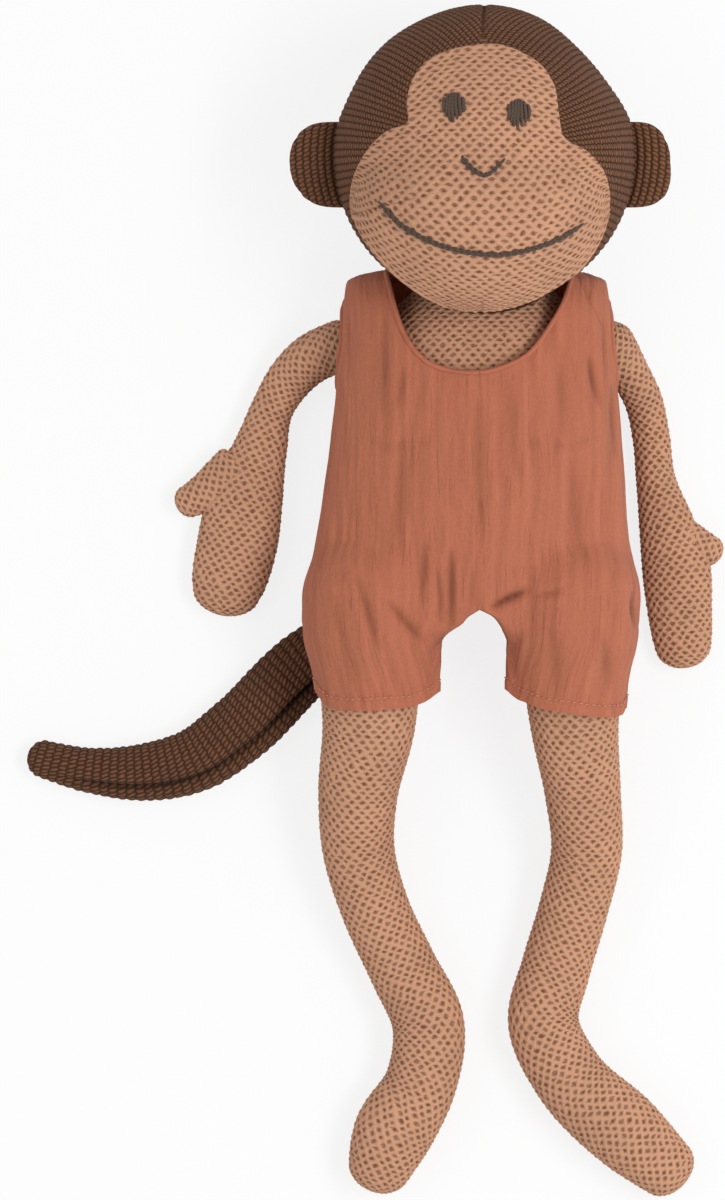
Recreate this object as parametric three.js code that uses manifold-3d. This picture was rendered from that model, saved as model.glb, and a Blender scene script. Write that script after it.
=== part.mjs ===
// Plush monkey in a romper: knitted skins over stuffing, sewn limbs, a long tail and a muslin garment.
// Millimetres. The toy lies on its back: +X is its own left, +Y points to the top of its head,
// +Z points up from the floor. The origin is on the floor under the middle of its back.
import * as THREE from 'three';
import { mergeVertices } from 'three/addons/utils/BufferGeometryUtils.js';
import Module from 'manifold-3d';

const wasm = await Module();
wasm.setup();

// Cloth and fit
const KNIT_WALL = 1.5; // thickness of a knitted skin
const CLOTH_WALL = 1.2; // thickness of the doubled muslin
const GAP = 0.3; // space between pieces that touch
const REST_CUT = 0.5; // depth of the flat that each form rests on
const THREAD = 1.7; // width of the embroidered lines
const THREAD_RAISE = 0.9; // height of the embroidery above the knit
const SEAM_THREAD = 0.7; // radius of a seam's rolled thread

// Head
const HEAD_RADIUS = 48;
const HEAD_X = 2;
const HEAD_Y = 102;
const HEAD = new THREE.Vector3(HEAD_X, HEAD_Y, HEAD_RADIUS - REST_CUT);
const MUZZLE_RADII = new THREE.Vector3(41, 31, 37);
const MUZZLE_OFFSET = new THREE.Vector3(-1.5, -19.5, 19.5); // from the head's centre
const FACE_BACK = 7; // the face panel starts this far in front of the head's centre
const NECK_HOLE = 15; // radius of the hood's opening at the neck
const NECK_BAND_INNER = 17; // the neck gusset's inner and outer radius
const NECK_BAND_OUTER = 25;
const NECK_BAND_WALL = 1.4;
const NECK_BAND_TOP = 14; // the gusset ends this far below the head's middle
const NECK_BAND_STEPS = 3;

// Ears
const EAR_REACH = 14; // how far an ear stands out from the head
const EAR_HALF_HEIGHT = 13.7;
const EAR_THICK = 8;
const EAR_DROP = -3; // the ears sit this far along Y from the head's centre

// Face panel outline, from the left notch over the brow and round the muzzle
const FACE_OUTLINE = [
  [-22.7, 112], [-22.9, 118], [-21.1, 126.2], [-16.7, 132.7], [-10.7, 135.9], [-2.2, 138],
  [7.4, 138.2], [14.5, 135.2], [21.1, 130.1], [24.7, 123.6], [25.8, 115], [27.1, 107.3],
  [34.9, 102.6], [40, 96.4], [41.9, 89], [41.5, 82.5], [39, 74.7], [34, 66.6], [25, 59.5],
  [13, 53.8], [0.3, 51.8], [-12, 53.8], [-23.7, 60.6], [-32, 68.4], [-38, 77], [-40.9, 85],
  [-40.6, 92], [-38.2, 98.8], [-33.9, 105.2], [-28.8, 109.4],
];

// Embroidery on the face
const EYE_HALF_WIDTH = 3.6;
const EYE_HALF_HEIGHT = 3.7;
const EYE_STEM = 1.7; // length of the stem below an eye
const RIGHT_EYE = [-8, 117.4];
const LEFT_EYE = [12.5, 115.2];
const NOSE_LINE = [[-5.4, 101.1], [-2.2, 97], [1.9, 94.6], [5.4, 97], [8.3, 100.2]];
const MOUTH_LINE = [
  [-31.8, 86.7], [-23.7, 78.7], [-13.4, 73.3], [-3.2, 70.6], [7, 69.9], [15.7, 71.4],
  [25.9, 75.2], [33.3, 79.7],
];

const THREAD_END = 0.35; // share of a line's width that is left at its ends
const THREAD_TAPER = 0.25; // share of a line's length over which it tapers

// Torso: one station per row, each with its place along Y, middle X, width and depth
const TORSO_TOP = 35; // the torso ends this far below the head's middle, inside the neck gusset
const TORSO_NECK = 42;
const TORSO_ROWS = [
  [HEAD_Y - TORSO_TOP, 2, 30, 26], [HEAD_Y - TORSO_NECK, 2, 50, 38],
  [51, 1, 72, 45], [40, 0, 80, 48], [20, -0.5, 82, 50],
  [0, -1, 84, 51], [-20, -1.5, 86, 51], [-33, -2, 84, 49], [-45, -2, 70, 38],
];
const TORSO_CAP = 7; // length over which the torso's ends close

// Romper: the same four values a row, for the cloth's inner side
const ROMPER_ROWS = [
  [67.5, -0.5, 78, 34], [58, -0.5, 82, 46], [44, -0.7, 84.5, 50], [20, -1, 90, 52],
  [0, -1, 95, 53], [-20, -1.5, 100, 53], [-36, -2, 104, 51], [-48, -2, 88, 43],
];
const ROMPER_CAP = 6;
const NECKLINE_END = 90; // beyond the straps
const NECKLINE = [
  [-25, NECKLINE_END], [-25, 60.8], [-23.4, 54.4], [-15.4, 41.6], [-8, 36.2], [2.2, 33.3], [13.4, 34.2],
  [21.4, 38.4], [26.2, 46.4], [30, 60.8], [30, NECKLINE_END],
];
const BACK_NECKLINE_Y = 55;
const BACK_NECKLINE_HALF = 27;
const NECKLINE_SPLIT = 24; // height that parts the front neckline from the back one
const ARMHOLE_RADII = new THREE.Vector3(9.5, 15.5, 13.5);

// Arms: centre x, y and height of the middle line, then width and thickness
const SHOULDER_Z = 13.5;
const RIGHT_SHOULDER = new THREE.Vector3(-44.5, 41.3, SHOULDER_Z);
const LEFT_SHOULDER = new THREE.Vector3(42.5, 41, SHOULDER_Z);
const SHOULDER_BALL = 8.2;
const SHOULDER_RING = 6.6; // radius of the shoulder seam
const ARM_HOLE = 3.6; // radius of an arm skin's opening at its sewn end
const RIGHT_ARM = [
  [-52.8, 37.6, 11, 13.6, 13], [-60.6, 31, 7.2, 12.6, 12], [-66, 21, 5.7, 12.8, 12.2],
  [-69.4, 9.6, 6, 16.8, 13], [-74.2, -6.5, 6.6, 23.6, 14.2], [-77.4, -23.4, 6.6, 25.4, 14.2],
  [-80.4, -36.5, 6.1, 22.5, 13.2], [-82, -45, 5.4, 15.5, 11.5],
];
const LEFT_ARM = [
  [48.6, 32.5, 10.5, 12.8, 12.8], [53, 24, 7, 12, 12], [55.6, 12, 5.5, 11.8, 12],
  [57, -1, 5.7, 12.4, 12.4], [60.4, -15.5, 6.3, 17.5, 13.6], [63.4, -28.5, 6.5, 21.6, 14],
  [64.6, -44, 6.3, 20, 13.6], [65.3, -54, 5.8, 16.8, 12.5], [65.5, -62, 5.2, 11.5, 11],
];
const ARM_TIP = 5; // length over which a hand's end closes
const THUMB_ROOT = 3; // the same for a thumb's two ends
const THUMB_TIP = 3.5;
const RIGHT_THUMB = [[-79, -4.5, 6.4, 11, 11], [-86, -7.6, 6, 9.8, 10], [-96.2, -9.8, 5, 8.6, 9]];
const LEFT_THUMB = [[64, -20, 6.2, 10, 10.5], [70, -22, 5.9, 9.4, 9.8], [77.2, -25.6, 4.8, 8, 8.8]];

// Legs: the same five values a row
const HIP_Y = -40;
const HIP_Z = 36.5;
const RIGHT_HIP = new THREE.Vector3(-34.2, HIP_Y, HIP_Z);
const LEFT_HIP = new THREE.Vector3(29.8, HIP_Y, HIP_Z);
const HIP_BALL = 18.6;
const RIGHT_LEG = [
  [-34.6, -60, 34, 33, 32], [-35, -80, 29.5, 29.4, 28.5], [-38.4, -102, 22.8, 25.2, 25],
  [-38.2, -120, 17, 22.8, 22.6], [-32.8, -139, 12.8, 21.6, 21.4], [-24, -158, 10.2, 21.8, 21.4],
  [-15.9, -176, 10.2, 22.8, 21.4], [-18.4, -195, 10.2, 22.8, 21.4], [-27.2, -211.2, 10.5, 25, 22],
  [-33, -229.2, 8.5, 15.5, 18],
];
const LEFT_LEG = [
  [30.2, -60, 34, 33, 32], [30.9, -80, 29.5, 28, 28], [33.6, -102, 22.8, 24, 24.4],
  [34.8, -120, 17, 22.4, 22.4], [30.6, -139, 12.8, 21.8, 21.4], [25, -158, 10.2, 22, 21.4],
  [21, -175, 10.2, 22.4, 21.4], [29, -192.5, 10.2, 23, 21.4], [47, -209, 10.5, 25.6, 22],
  [62.6, -227.6, 8.5, 15.5, 18],
];
const LEG_TIP = 6;
const LEG_HOLE = 8; // radius of a leg skin's opening at its sewn end
const HIP_RING = 4.2; // radius of the hip seam

// Romper legs: centre x, y and height, then the cloth's inner width and depth
const RIGHT_SHORTS = [
  [-33.6, -56, 34.8, 42, 40], [-33, -66, 32.6, 41, 37], [-32.6, -75.5, 31.2, 40, 35],
];
const LEFT_SHORTS = [
  [29.6, -56, 34.8, 41, 40], [29.4, -66, 32.6, 40, 37], [29, -75.5, 31.2, 39.2, 35],
];
const SHORTS_EASE = 0.8; // room between a leg's ball and the cloth
const SHORTS_TOP = 9; // the romper leg is open this far above the hip
const SHORTS_FOLDS = 5; // soft flutes round a hem
const SHORTS_FOLD_DEPTH = 0.55;
const HEM_TILT = 0.06; // slope of the hem across the toy
const HEM_SPARE = 12; // length that the hem's cut takes off

// Tail: the same five values a row as an arm
const TAIL_ROOT = new THREE.Vector3(-12, -36, 5.5);
const TAIL_BALL = 5.6;
const TAIL = [
  [-30, -46, 5.4, 18, 11.4], [-53.8, -59.5, 5.5, 21.5, 11.6], [-77, -81.8, 6.2, 22, 13.4],
  [-90, -91, 6.2, 20.6, 13.4], [-107, -95.2, 5.9, 18.2, 12.8], [-123, -94.8, 5.3, 14.6, 11.6],
  [-144.3, -89.6, 4.3, 11, 9.6],
];
const TAIL_TIP = 5;
const TAIL_HOLE = 3; // radius of the tail skin's opening at its sewn end
const TAIL_SWING = 12; // degrees each way, kept free in the torso and the romper

// Facets: sides round each form, and rings along it
const LEG_SIDES = 12;
const LEG_RINGS = 13;
const ARM_SIDES = 10;
const THUMB_SIDES = 8;
const TAIL_RINGS = 10;
const TRUNK_SIDES = 14;
const TRUNK_RINGS = 7;
const CLOTH_SIDES = 20;
const BODICE_RINGS = 9;
const SHORTS_RINGS = 5;
const BALL_SIDES = 24;
const MUZZLE_SIDES = 20;
const EAR_SIDES = 12;
const NECK_SIDES = 28;
const SMALL_SIDES = 12;
const SPACE_SIDES = 20;
const THREAD_SIDES = 5;
const EYE_STEPS = 14;
const INNER_SHARE = 0.75; // a skin's inner side has this share of its outer side's facets
const CAP_STEPS = 3; // rings that round off an end

// Finishes
const FINISH = {
  brownKnit: { color: 0x5f4636, roughness: 0.95 },
  tanKnit: { color: 0xb3866a, roughness: 0.95 },
  muslin: { color: 0xb56f57, roughness: 0.9 },
  thread: { color: 0x54443b, roughness: 0.85 },
  fibre: { color: 0xe9e6df, roughness: 1 },
};

const toy = new THREE.Group();

// Solids: a three.js geometry with merged vertices becomes a solid that can be cut
function solidOf(geometry) {
  geometry.deleteAttribute('normal');
  geometry.deleteAttribute('uv');
  const merged = mergeVertices(geometry, 1e-4);
  const corners = new Uint32Array(merged.index.array);
  const build = () => new wasm.Manifold(new wasm.Mesh({
    numProp: 3,
    vertProperties: new Float32Array(merged.attributes.position.array),
    triVerts: corners,
  }));
  if (build().volume() < 0) {
    for (let i = 0; i < corners.length; i += 3) {
      [corners[i + 1], corners[i + 2]] = [corners[i + 2], corners[i + 1]];
    }
  }
  return build();
}

function addPiece(name, solid, finish) {
  const mesh = solid.getMesh();
  const geometry = new THREE.BufferGeometry();
  geometry.setAttribute('position', new THREE.BufferAttribute(mesh.vertProperties, 3));
  geometry.setIndex(new THREE.BufferAttribute(mesh.triVerts, 1));
  geometry.computeVertexNormals();
  const material = new THREE.MeshStandardMaterial({ metalness: 0, ...FINISH[finish] });
  const piece = new THREE.Mesh(geometry, material);
  piece.name = name;
  toy.add(piece);
}

function boxBetween(low, high) {
  const size = high.clone().sub(low);
  const middle = low.clone().add(high).multiplyScalar(0.5);
  const geometry = new THREE.BoxGeometry(size.x, size.y, size.z);
  return solidOf(geometry.translate(middle.x, middle.y, middle.z));
}

function ellipsoid(centre, radii, sides = BALL_SIDES) {
  const geometry = new THREE.SphereGeometry(1, sides, sides / 2);
  geometry.scale(radii.x, radii.y, radii.z);
  return solidOf(geometry.translate(centre.x, centre.y, centre.z));
}

function ball(centre, radius, sides = BALL_SIDES) {
  return ellipsoid(centre, new THREE.Vector3(radius, radius, radius), sides);
}

// A ball whose flats, not its corners, are on the radius: room for something to turn in
function socket(centre, radius, sides = BALL_SIDES) {
  return ball(centre, radius / Math.cos(Math.PI / sides) ** 2, sides);
}

// A closed prism over an outline in X and Y, from one height to another
function prism(points, low, high) {
  const shape = new THREE.Shape(points.map(([x, y]) => new THREE.Vector2(x, y)));
  const geometry = new THREE.ExtrudeGeometry(shape, { depth: high - low, bevelEnabled: false });
  return solidOf(geometry.translate(0, 0, low));
}

// Everything above the floor
const FAR = 400;
const room = boxBetween(new THREE.Vector3(-FAR, -FAR, 0), new THREE.Vector3(FAR, FAR, FAR));

// Stuffed form: a round-ended body along a smooth middle line. Each row is x, y and height of
// the line, then width and thickness. The first end closes over firstCap, the last over lastCap.
function stuffedForm(rows, options) {
  const { firstCap, lastCap, grow = 0, rings = rows.length, around = LEG_SIDES } = options;
  const { flutes = 0, fluteDepth = 0, upright = false } = options;
  const line = new THREE.CatmullRomCurve3(rows.map(([x, y, z]) => new THREE.Vector3(x, y, z)));
  const sizes = new THREE.CatmullRomCurve3(rows.map((row) => new THREE.Vector3(row[3], row[4], 0)));
  const length = line.getLength();
  const profile = [];
  for (let k = 0; k <= CAP_STEPS; k += 1) {
    const turn = (k / CAP_STEPS) * (Math.PI / 2);
    profile.push([Math.sin(turn), (firstCap * (1 - Math.cos(turn))) / length]);
  }
  const start = firstCap / length;
  const end = 1 - lastCap / length;
  for (let k = 1; k < rings; k += 1) {
    profile.push([1, start + ((end - start) * k) / rings]);
  }
  for (let k = CAP_STEPS; k >= 0; k -= 1) {
    const turn = (k / CAP_STEPS) * (Math.PI / 2);
    profile.push([Math.sin(turn), 1 - (lastCap * (1 - Math.cos(turn))) / length]);
  }
  const points = profile.map(([radius, along]) => new THREE.Vector2(radius, along));
  points[0].x = 0;
  points[points.length - 1].x = 0;
  const geometry = new THREE.LatheGeometry(points, facets(around, grow));
  const place = geometry.attributes.position;
  const up = new THREE.Vector3(0, 0, 1);
  for (let i = 0; i < place.count; i += 1) {
    const along = THREE.MathUtils.clamp(place.getY(i), 0, 1);
    const unit = new THREE.Vector2(place.getX(i), place.getZ(i));
    const step = line.getUtoTmapping(along);
    const centre = line.getPoint(step);
    const size = sizes.getPoint(step);
    const ahead = upright ? new THREE.Vector3(0, -1, 0) : line.getTangent(step);
    const side = new THREE.Vector3().crossVectors(ahead, up).normalize();
    const lift = new THREE.Vector3().crossVectors(side, ahead).normalize();
    const turn = Math.atan2(unit.y, unit.x);
    const flute = fluteDepth * along * Math.cos(flutes * turn);
    const shrink = endShrink(along * length, firstCap, lastCap, length, grow);
    centre.addScaledVector(side, unit.x * (size.x / 2 + grow + flute));
    centre.addScaledVector(lift, unit.y * (size.y / 2 + grow + flute));
    centre.addScaledVector(ahead, shrink);
    place.setXYZ(i, centre.x, centre.y, centre.z);
  }
  return solidOf(geometry);
}

function facets(sides, grow) {
  return grow < 0 ? Math.round((sides * INNER_SHARE) / 2) * 2 : sides;
}

// How far a grown or shrunk form's end moves along its line, so that its wall keeps its thickness
function endShrink(at, firstCap, lastCap, length, grow) {
  if (at < firstCap) {
    return -grow * (1 - at / firstCap);
  }
  if (at > length - lastCap) {
    return grow * (1 - (length - at) / lastCap);
  }
  return 0;
}

// A limb starts with a ball at its joint, and its rows follow
function limbForm(pivot, radius, rows, options) {
  const first = new THREE.Vector3(rows[0][0], rows[0][1], rows[0][2]);
  const back = first.clone().sub(pivot).normalize().multiplyScalar(-radius).add(pivot);
  const size = 2 * radius;
  const start = [[back.x, back.y, back.z, size, size], [pivot.x, pivot.y, pivot.z, size, size]];
  return stuffedForm([...start, ...rows], { ...options, firstCap: radius });
}

function ringAt(centre, axis, radius, thread) {
  const geometry = new THREE.TorusGeometry(radius, thread, THREAD_SIDES, SMALL_SIDES + 2);
  const turn = new THREE.Quaternion().setFromUnitVectors(new THREE.Vector3(0, 0, 1), axis);
  geometry.applyQuaternion(turn);
  return solidOf(geometry.translate(centre.x, centre.y, centre.z));
}

// A ring of thread that lies round a ball, between it and its socket
function ringOnBall(pivot, direction, ballRadius, ringRadius) {
  const reach = ballRadius + GAP + SEAM_THREAD;
  const offset = Math.sqrt(reach ** 2 - ringRadius ** 2);
  return ringAt(pivot.clone().addScaledVector(direction, offset), direction, ringRadius, SEAM_THREAD);
}

const SOCKET_SPACE = 2 * GAP + 2 * SEAM_THREAD; // between a ball and its socket

// Head: hood, face panel and stuffing share one outer shape at three depths
function headForm(grow) {
  const muzzle = HEAD.clone().add(MUZZLE_OFFSET);
  const radii = MUZZLE_RADII.clone().addScalar(grow);
  const front = prism(faceOutline(Math.min(grow, 0)), HEAD.z + FACE_BACK, FAR / 2);
  const skull = ball(HEAD, HEAD_RADIUS + grow, facets(BALL_SIDES, grow));
  return skull.add(ellipsoid(muzzle, radii, facets(MUZZLE_SIDES, grow)).intersect(front));
}

function faceOutline(grow) {
  const middle = FACE_OUTLINE.reduce((sum, [x, y]) => [sum[0] + x, sum[1] + y], [0, 0]);
  const centre = middle.map((value) => value / FACE_OUTLINE.length);
  return FACE_OUTLINE.map(([x, y]) => {
    const out = new THREE.Vector2(x - centre[0], y - centre[1]);
    const reach = (out.length() + grow) / out.length();
    return [centre[0] + out.x * reach, centre[1] + out.y * reach];
  });
}

function addHead() {
  const top = FAR / 2;
  const inner = headForm(-KNIT_WALL);
  const skull = ball(HEAD, HEAD_RADIUS).intersect(room).subtract(inner);
  const faceFront = prism(faceOutline(0), HEAD.z + FACE_BACK, top);
  const faceSpace = prism(faceOutline(GAP), HEAD.z + FACE_BACK - GAP, top);
  const neckLow = new THREE.Vector3(HEAD.x, HEAD.y - HEAD_RADIUS, HEAD.z);
  const neckHole = ball(neckLow, NECK_HOLE, SMALL_SIDES);
  addPiece('head_hood', skull.subtract(faceSpace).subtract(neckHole), 'brownKnit');
  addPiece('face_panel', headForm(0).subtract(inner).intersect(faceFront), 'tanKnit');
  addPiece('head_stuffing', headForm(-KNIT_WALL - GAP), 'fibre');
  addNeckBand();
}

// The neck gusset is a crescent just outside the same ball, round the nape
function addNeckBand() {
  const inner = HEAD_RADIUS + GAP;
  const outer = inner + NECK_BAND_WALL;
  const points = [];
  const steps = NECK_BAND_STEPS;
  for (const [radius, from, to] of [[inner, 0, 1], [outer, 1, 0]]) {
    for (let k = 0; k <= steps; k += 1) {
      const share = from + ((to - from) * k) / steps;
      const wide = NECK_BAND_INNER + (NECK_BAND_OUTER - NECK_BAND_INNER) * share;
      points.push(new THREE.Vector2(wide, -Math.sqrt(radius ** 2 - wide ** 2)));
    }
  }
  points.push(points[0].clone());
  const geometry = new THREE.LatheGeometry(points, NECK_SIDES).translate(HEAD.x, HEAD.y, HEAD.z);
  const nape = boxBetween(
    new THREE.Vector3(-FAR, -FAR, -FAR),
    new THREE.Vector3(FAR, FAR, HEAD.z - NECK_BAND_TOP),
  );
  addPiece('neck_gusset', solidOf(geometry).intersect(nape), 'tanKnit');
}

// Ears: flat, padded and D-shaped, with a rounded edge that stands just off the hood
function addEar(name, side) {
  const geometry = new THREE.SphereGeometry(1, EAR_SIDES, EAR_SIDES - 2);
  const place = geometry.attributes.position;
  for (let i = 0; i < place.count; i += 1) {
    const height = place.getY(i);
    const round = Math.sqrt(Math.max(0, 1 - height * height));
    const across = round > 1e-6 ? place.getX(i) / round : 0;
    const deep = round > 1e-6 ? place.getZ(i) / round : 0;
    const y = EAR_DROP + EAR_HALF_HEIGHT * height;
    const hoodSide = Math.sqrt((HEAD_RADIUS + GAP) ** 2 - y * y);
    const out = hoodSide + (EAR_REACH * Math.sqrt(round) * (1 + side * across)) / 2;
    place.setXYZ(i, HEAD.x + side * out, HEAD.y + y, HEAD.z + (EAR_THICK / 2) * Math.sqrt(round) * deep);
  }
  addPiece(name, solidOf(geometry), 'brownKnit');
}

// Embroidery: a thin patch that follows the face's surface inside an outline
function addStitching(name, outline) {
  const raised = headForm(GAP + THREAD_RAISE).subtract(headForm(GAP));
  addPiece(name, raised.intersect(prism(outline, HEAD.z + FACE_BACK, FAR / 2)), 'thread');
}

function lineOutline(points, width) {
  const line = new THREE.SplineCurve(points.map(([x, y]) => new THREE.Vector2(x, y)));
  const steps = points.length * 2;
  const left = [];
  const right = [];
  for (let k = 0; k <= steps; k += 1) {
    const at = line.getPoint(k / steps);
    const ahead = line.getTangent(k / steps);
    const fromEnd = Math.min(k, steps - k) / steps;
    const taper = THREAD_END + (1 - THREAD_END) * Math.min(1, fromEnd / THREAD_TAPER);
    const half = (width * taper) / 2;
    left.push([at.x - ahead.y * half, at.y + ahead.x * half]);
    right.push([at.x + ahead.y * half, at.y - ahead.x * half]);
  }
  return [...right, ...left.reverse()];
}

// An eye is an oval with a short stem below it
function eyeOutline([x, y]) {
  const points = [];
  for (let k = 0; k < EYE_STEPS; k += 1) {
    const turn = -Math.PI / 2 + (2 * Math.PI * k) / EYE_STEPS;
    const stem = k === 0 ? EYE_STEM : 0;
    const side = EYE_HALF_WIDTH * Math.cos(turn);
    points.push([x + side, y + EYE_HALF_HEIGHT * Math.sin(turn) - stem]);
  }
  return points;
}

// Torso and romper rows run along Y, with their undersides on the floor or on the cloth
function trunkRows(rows, underside) {
  return rows.map(([y, x, wide, deep]) => [x, y, underside + deep / 2, wide, deep]);
}

const CLOTH_UNDER = CLOTH_WALL - REST_CUT; // height of the cloth's inner side at the back
const TORSO_UNDER = CLOTH_UNDER + 2 * GAP;

function torsoForm(grow) {
  const caps = { firstCap: TORSO_CAP, lastCap: TORSO_CAP, upright: true };
  const facetCounts = { rings: TRUNK_RINGS, around: TRUNK_SIDES };
  return stuffedForm(trunkRows(TORSO_ROWS, TORSO_UNDER), { ...caps, ...facetCounts, grow });
}

function romperForm(grow) {
  const caps = { firstCap: ROMPER_CAP, lastCap: ROMPER_CAP, upright: true };
  const facetCounts = { rings: BODICE_RINGS, around: CLOTH_SIDES };
  return stuffedForm(trunkRows(ROMPER_ROWS, CLOTH_UNDER), { ...caps, ...facetCounts, grow });
}

// Space that the trunk leaves for the head, the shoulders, the hips and the tail
function headSpace() {
  return socket(HEAD, HEAD_RADIUS + 2 * GAP + NECK_BAND_WALL);
}

function shoulderSpace(pivot) {
  return socket(pivot, SHOULDER_BALL + SOCKET_SPACE, SMALL_SIDES);
}

const SHORTS_INNER = HIP_BALL + SHORTS_EASE; // radius of a romper leg's inner side round the hip
const HIP_SOCKET = SHORTS_INNER + CLOTH_WALL + 2 * GAP;

// The hip's ball, the front that the thigh swings up through, and the romper leg at rest
function hipSpace(pivot, rows) {
  const widest = Math.max(...rows.map((row) => row[3] / 2));
  const reach = widest + SHORTS_FOLD_DEPTH + CLOTH_WALL + 2 * GAP;
  const up = new THREE.CylinderGeometry(reach, reach, HIP_Z, SPACE_SIDES);
  up.rotateX(Math.PI / 2).translate(pivot.x, pivot.y, pivot.z + HIP_Z / 2);
  const front = boxBetween(
    new THREE.Vector3(pivot.x - reach, pivot.y - reach, pivot.z),
    new THREE.Vector3(pivot.x + reach, pivot.y, pivot.z + HIP_Z),
  );
  const thigh = shortsForm(pivot, rows, CLOTH_WALL + 2 * GAP);
  return socket(pivot, HIP_SOCKET, SPACE_SIDES).add(solidOf(up)).add(front).add(thigh);
}

function tailForm(grow) {
  const facetCounts = { rings: TAIL_RINGS, around: ARM_SIDES };
  return limbForm(TAIL_ROOT, TAIL_BALL, TAIL, { lastCap: TAIL_TIP, grow, ...facetCounts });
}

function tailSpace() {
  const options = { lastCap: TAIL_TIP, grow: 3 * GAP, rings: SHORTS_RINGS, around: THUMB_SIDES };
  const wide = limbForm(TAIL_ROOT, TAIL_BALL, TAIL.slice(0, 3), options);
  const turned = [-TAIL_SWING, TAIL_SWING].map((degrees) => {
    const away = wide.translate([-TAIL_ROOT.x, -TAIL_ROOT.y, 0]);
    return away.rotate([0, 0, degrees]).translate([TAIL_ROOT.x, TAIL_ROOT.y, 0]);
  });
  return turned.reduce((space, solid) => space.add(solid), wide);
}

const trunkSpace = [
  headSpace(),
  shoulderSpace(RIGHT_SHOULDER),
  shoulderSpace(LEFT_SHOULDER),
  hipSpace(RIGHT_HIP, RIGHT_SHORTS),
  hipSpace(LEFT_HIP, LEFT_SHORTS),
  tailSpace(),
].reduce((space, solid) => space.add(solid));

function addTorso() {
  const outer = torsoForm(0);
  const skin = outer.subtract(torsoForm(-KNIT_WALL)).subtract(trunkSpace);
  addPiece('torso_skin', skin, 'tanKnit');
  addPiece('torso_stuffing', torsoForm(-KNIT_WALL - GAP).subtract(trunkSpace), 'fibre');
}

// Romper bodice: a shell with a scooped neckline, two armholes and open leg ends
function addBodice() {
  const shell = romperForm(CLOTH_WALL).intersect(room).subtract(romperForm(0));
  const front = prism(NECKLINE, NECKLINE_SPLIT, FAR / 2);
  const back = boxBetween(
    new THREE.Vector3(-BACK_NECKLINE_HALF, BACK_NECKLINE_Y, -FAR),
    new THREE.Vector3(BACK_NECKLINE_HALF, FAR, NECKLINE_SPLIT),
  );
  const armholes = [RIGHT_SHOULDER, LEFT_SHOULDER].map((pivot) => (
    ellipsoid(pivot, ARMHOLE_RADII, SMALL_SIDES)
  ));
  const openings = armholes.reduce((space, solid) => space.add(solid), front.add(back));
  addPiece('romper_bodice', shell.subtract(openings).subtract(trunkSpace), 'muslin');
}

// Arm: a skin that is open at its sewn end, with stuffing inside
function armForm(pivot, rows, thumb, grow) {
  const arm = limbForm(pivot, SHOULDER_BALL, rows, { lastCap: ARM_TIP, grow, around: ARM_SIDES });
  const caps = { firstCap: THUMB_ROOT, lastCap: THUMB_TIP };
  return arm.add(stuffedForm(thumb, { ...caps, grow, around: THUMB_SIDES }));
}

function addArm(name, pivot, inward, rows, thumb) {
  const inner = armForm(pivot, rows, thumb, -KNIT_WALL);
  const hole = ball(pivot.clone().addScaledVector(inward, SHOULDER_BALL), ARM_HOLE, SMALL_SIDES);
  const skin = armForm(pivot, rows, thumb, 0).intersect(room).subtract(inner).subtract(hole);
  addPiece(`${name}_arm_skin`, skin, 'tanKnit');
  addPiece(`${name}_arm_stuffing`, armForm(pivot, rows, thumb, -KNIT_WALL - GAP), 'fibre');
  addPiece(`${name}_shoulder_seam`, ringOnBall(pivot, inward, SHOULDER_BALL, SHOULDER_RING), 'thread');
}

// Leg: the same, with a larger ball at the hip and a sewn ring that holds it to the torso
function legForm(pivot, rows, grow) {
  return limbForm(pivot, HIP_BALL, rows, { lastCap: LEG_TIP, grow, rings: LEG_RINGS });
}

const HIP_SEAM_WAY = new THREE.Vector3(0, 1, -1).normalize();

function addLeg(name, pivot, rows) {
  const hole = ball(pivot.clone().add(new THREE.Vector3(0, HIP_BALL, 0)), LEG_HOLE, SMALL_SIDES);
  const skin = legForm(pivot, rows, 0).intersect(room).subtract(legForm(pivot, rows, -KNIT_WALL));
  addPiece(`${name}_leg_skin`, skin.subtract(hole), 'tanKnit');
  addPiece(`${name}_leg_stuffing`, legForm(pivot, rows, -KNIT_WALL - GAP), 'fibre');
  const reach = (HIP_BALL + HIP_SOCKET) / 2;
  const thick = (HIP_SOCKET - HIP_BALL) / 2 - GAP;
  const offset = Math.sqrt(reach ** 2 - HIP_RING ** 2);
  const centre = pivot.clone().addScaledVector(HIP_SEAM_WAY, offset);
  addPiece(`${name}_hip_seam`, ringAt(centre, HIP_SEAM_WAY, HIP_RING, thick), 'thread');
}

// Romper leg: a cloth tube that starts round the hip and ends in a level hem
function shortsForm(pivot, rows, grow) {
  const last = rows[rows.length - 1];
  const beyond = [last[0], last[1] - HEM_SPARE, last[2], last[3], last[4]];
  const folds = { flutes: SHORTS_FOLDS, fluteDepth: SHORTS_FOLD_DEPTH };
  const options = { lastCap: CLOTH_WALL, rings: SHORTS_RINGS, around: CLOTH_SIDES, grow, ...folds };
  return limbForm(pivot, SHORTS_INNER, [...rows, beyond], options);
}

function addShorts(name, pivot, rows) {
  const last = rows[rows.length - 1];
  const shell = shortsForm(pivot, rows, CLOTH_WALL).subtract(shortsForm(pivot, rows, 0));
  const top = boxBetween(
    new THREE.Vector3(-FAR, pivot.y + SHORTS_TOP, -FAR),
    new THREE.Vector3(FAR, FAR, FAR),
  );
  const below = new THREE.BoxGeometry(FAR, FAR, FAR).translate(0, -FAR / 2, 0);
  below.rotateZ(Math.sign(pivot.x) * HEM_TILT).translate(last[0], last[1], 0);
  addPiece(`romper_${name}_leg`, shell.subtract(top).subtract(solidOf(below)), 'muslin');
}

const TAIL_SEAM_WAY = new THREE.Vector3(TAIL_ROOT.x - TAIL[0][0], TAIL_ROOT.y - TAIL[0][1], 0).normalize();

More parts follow.
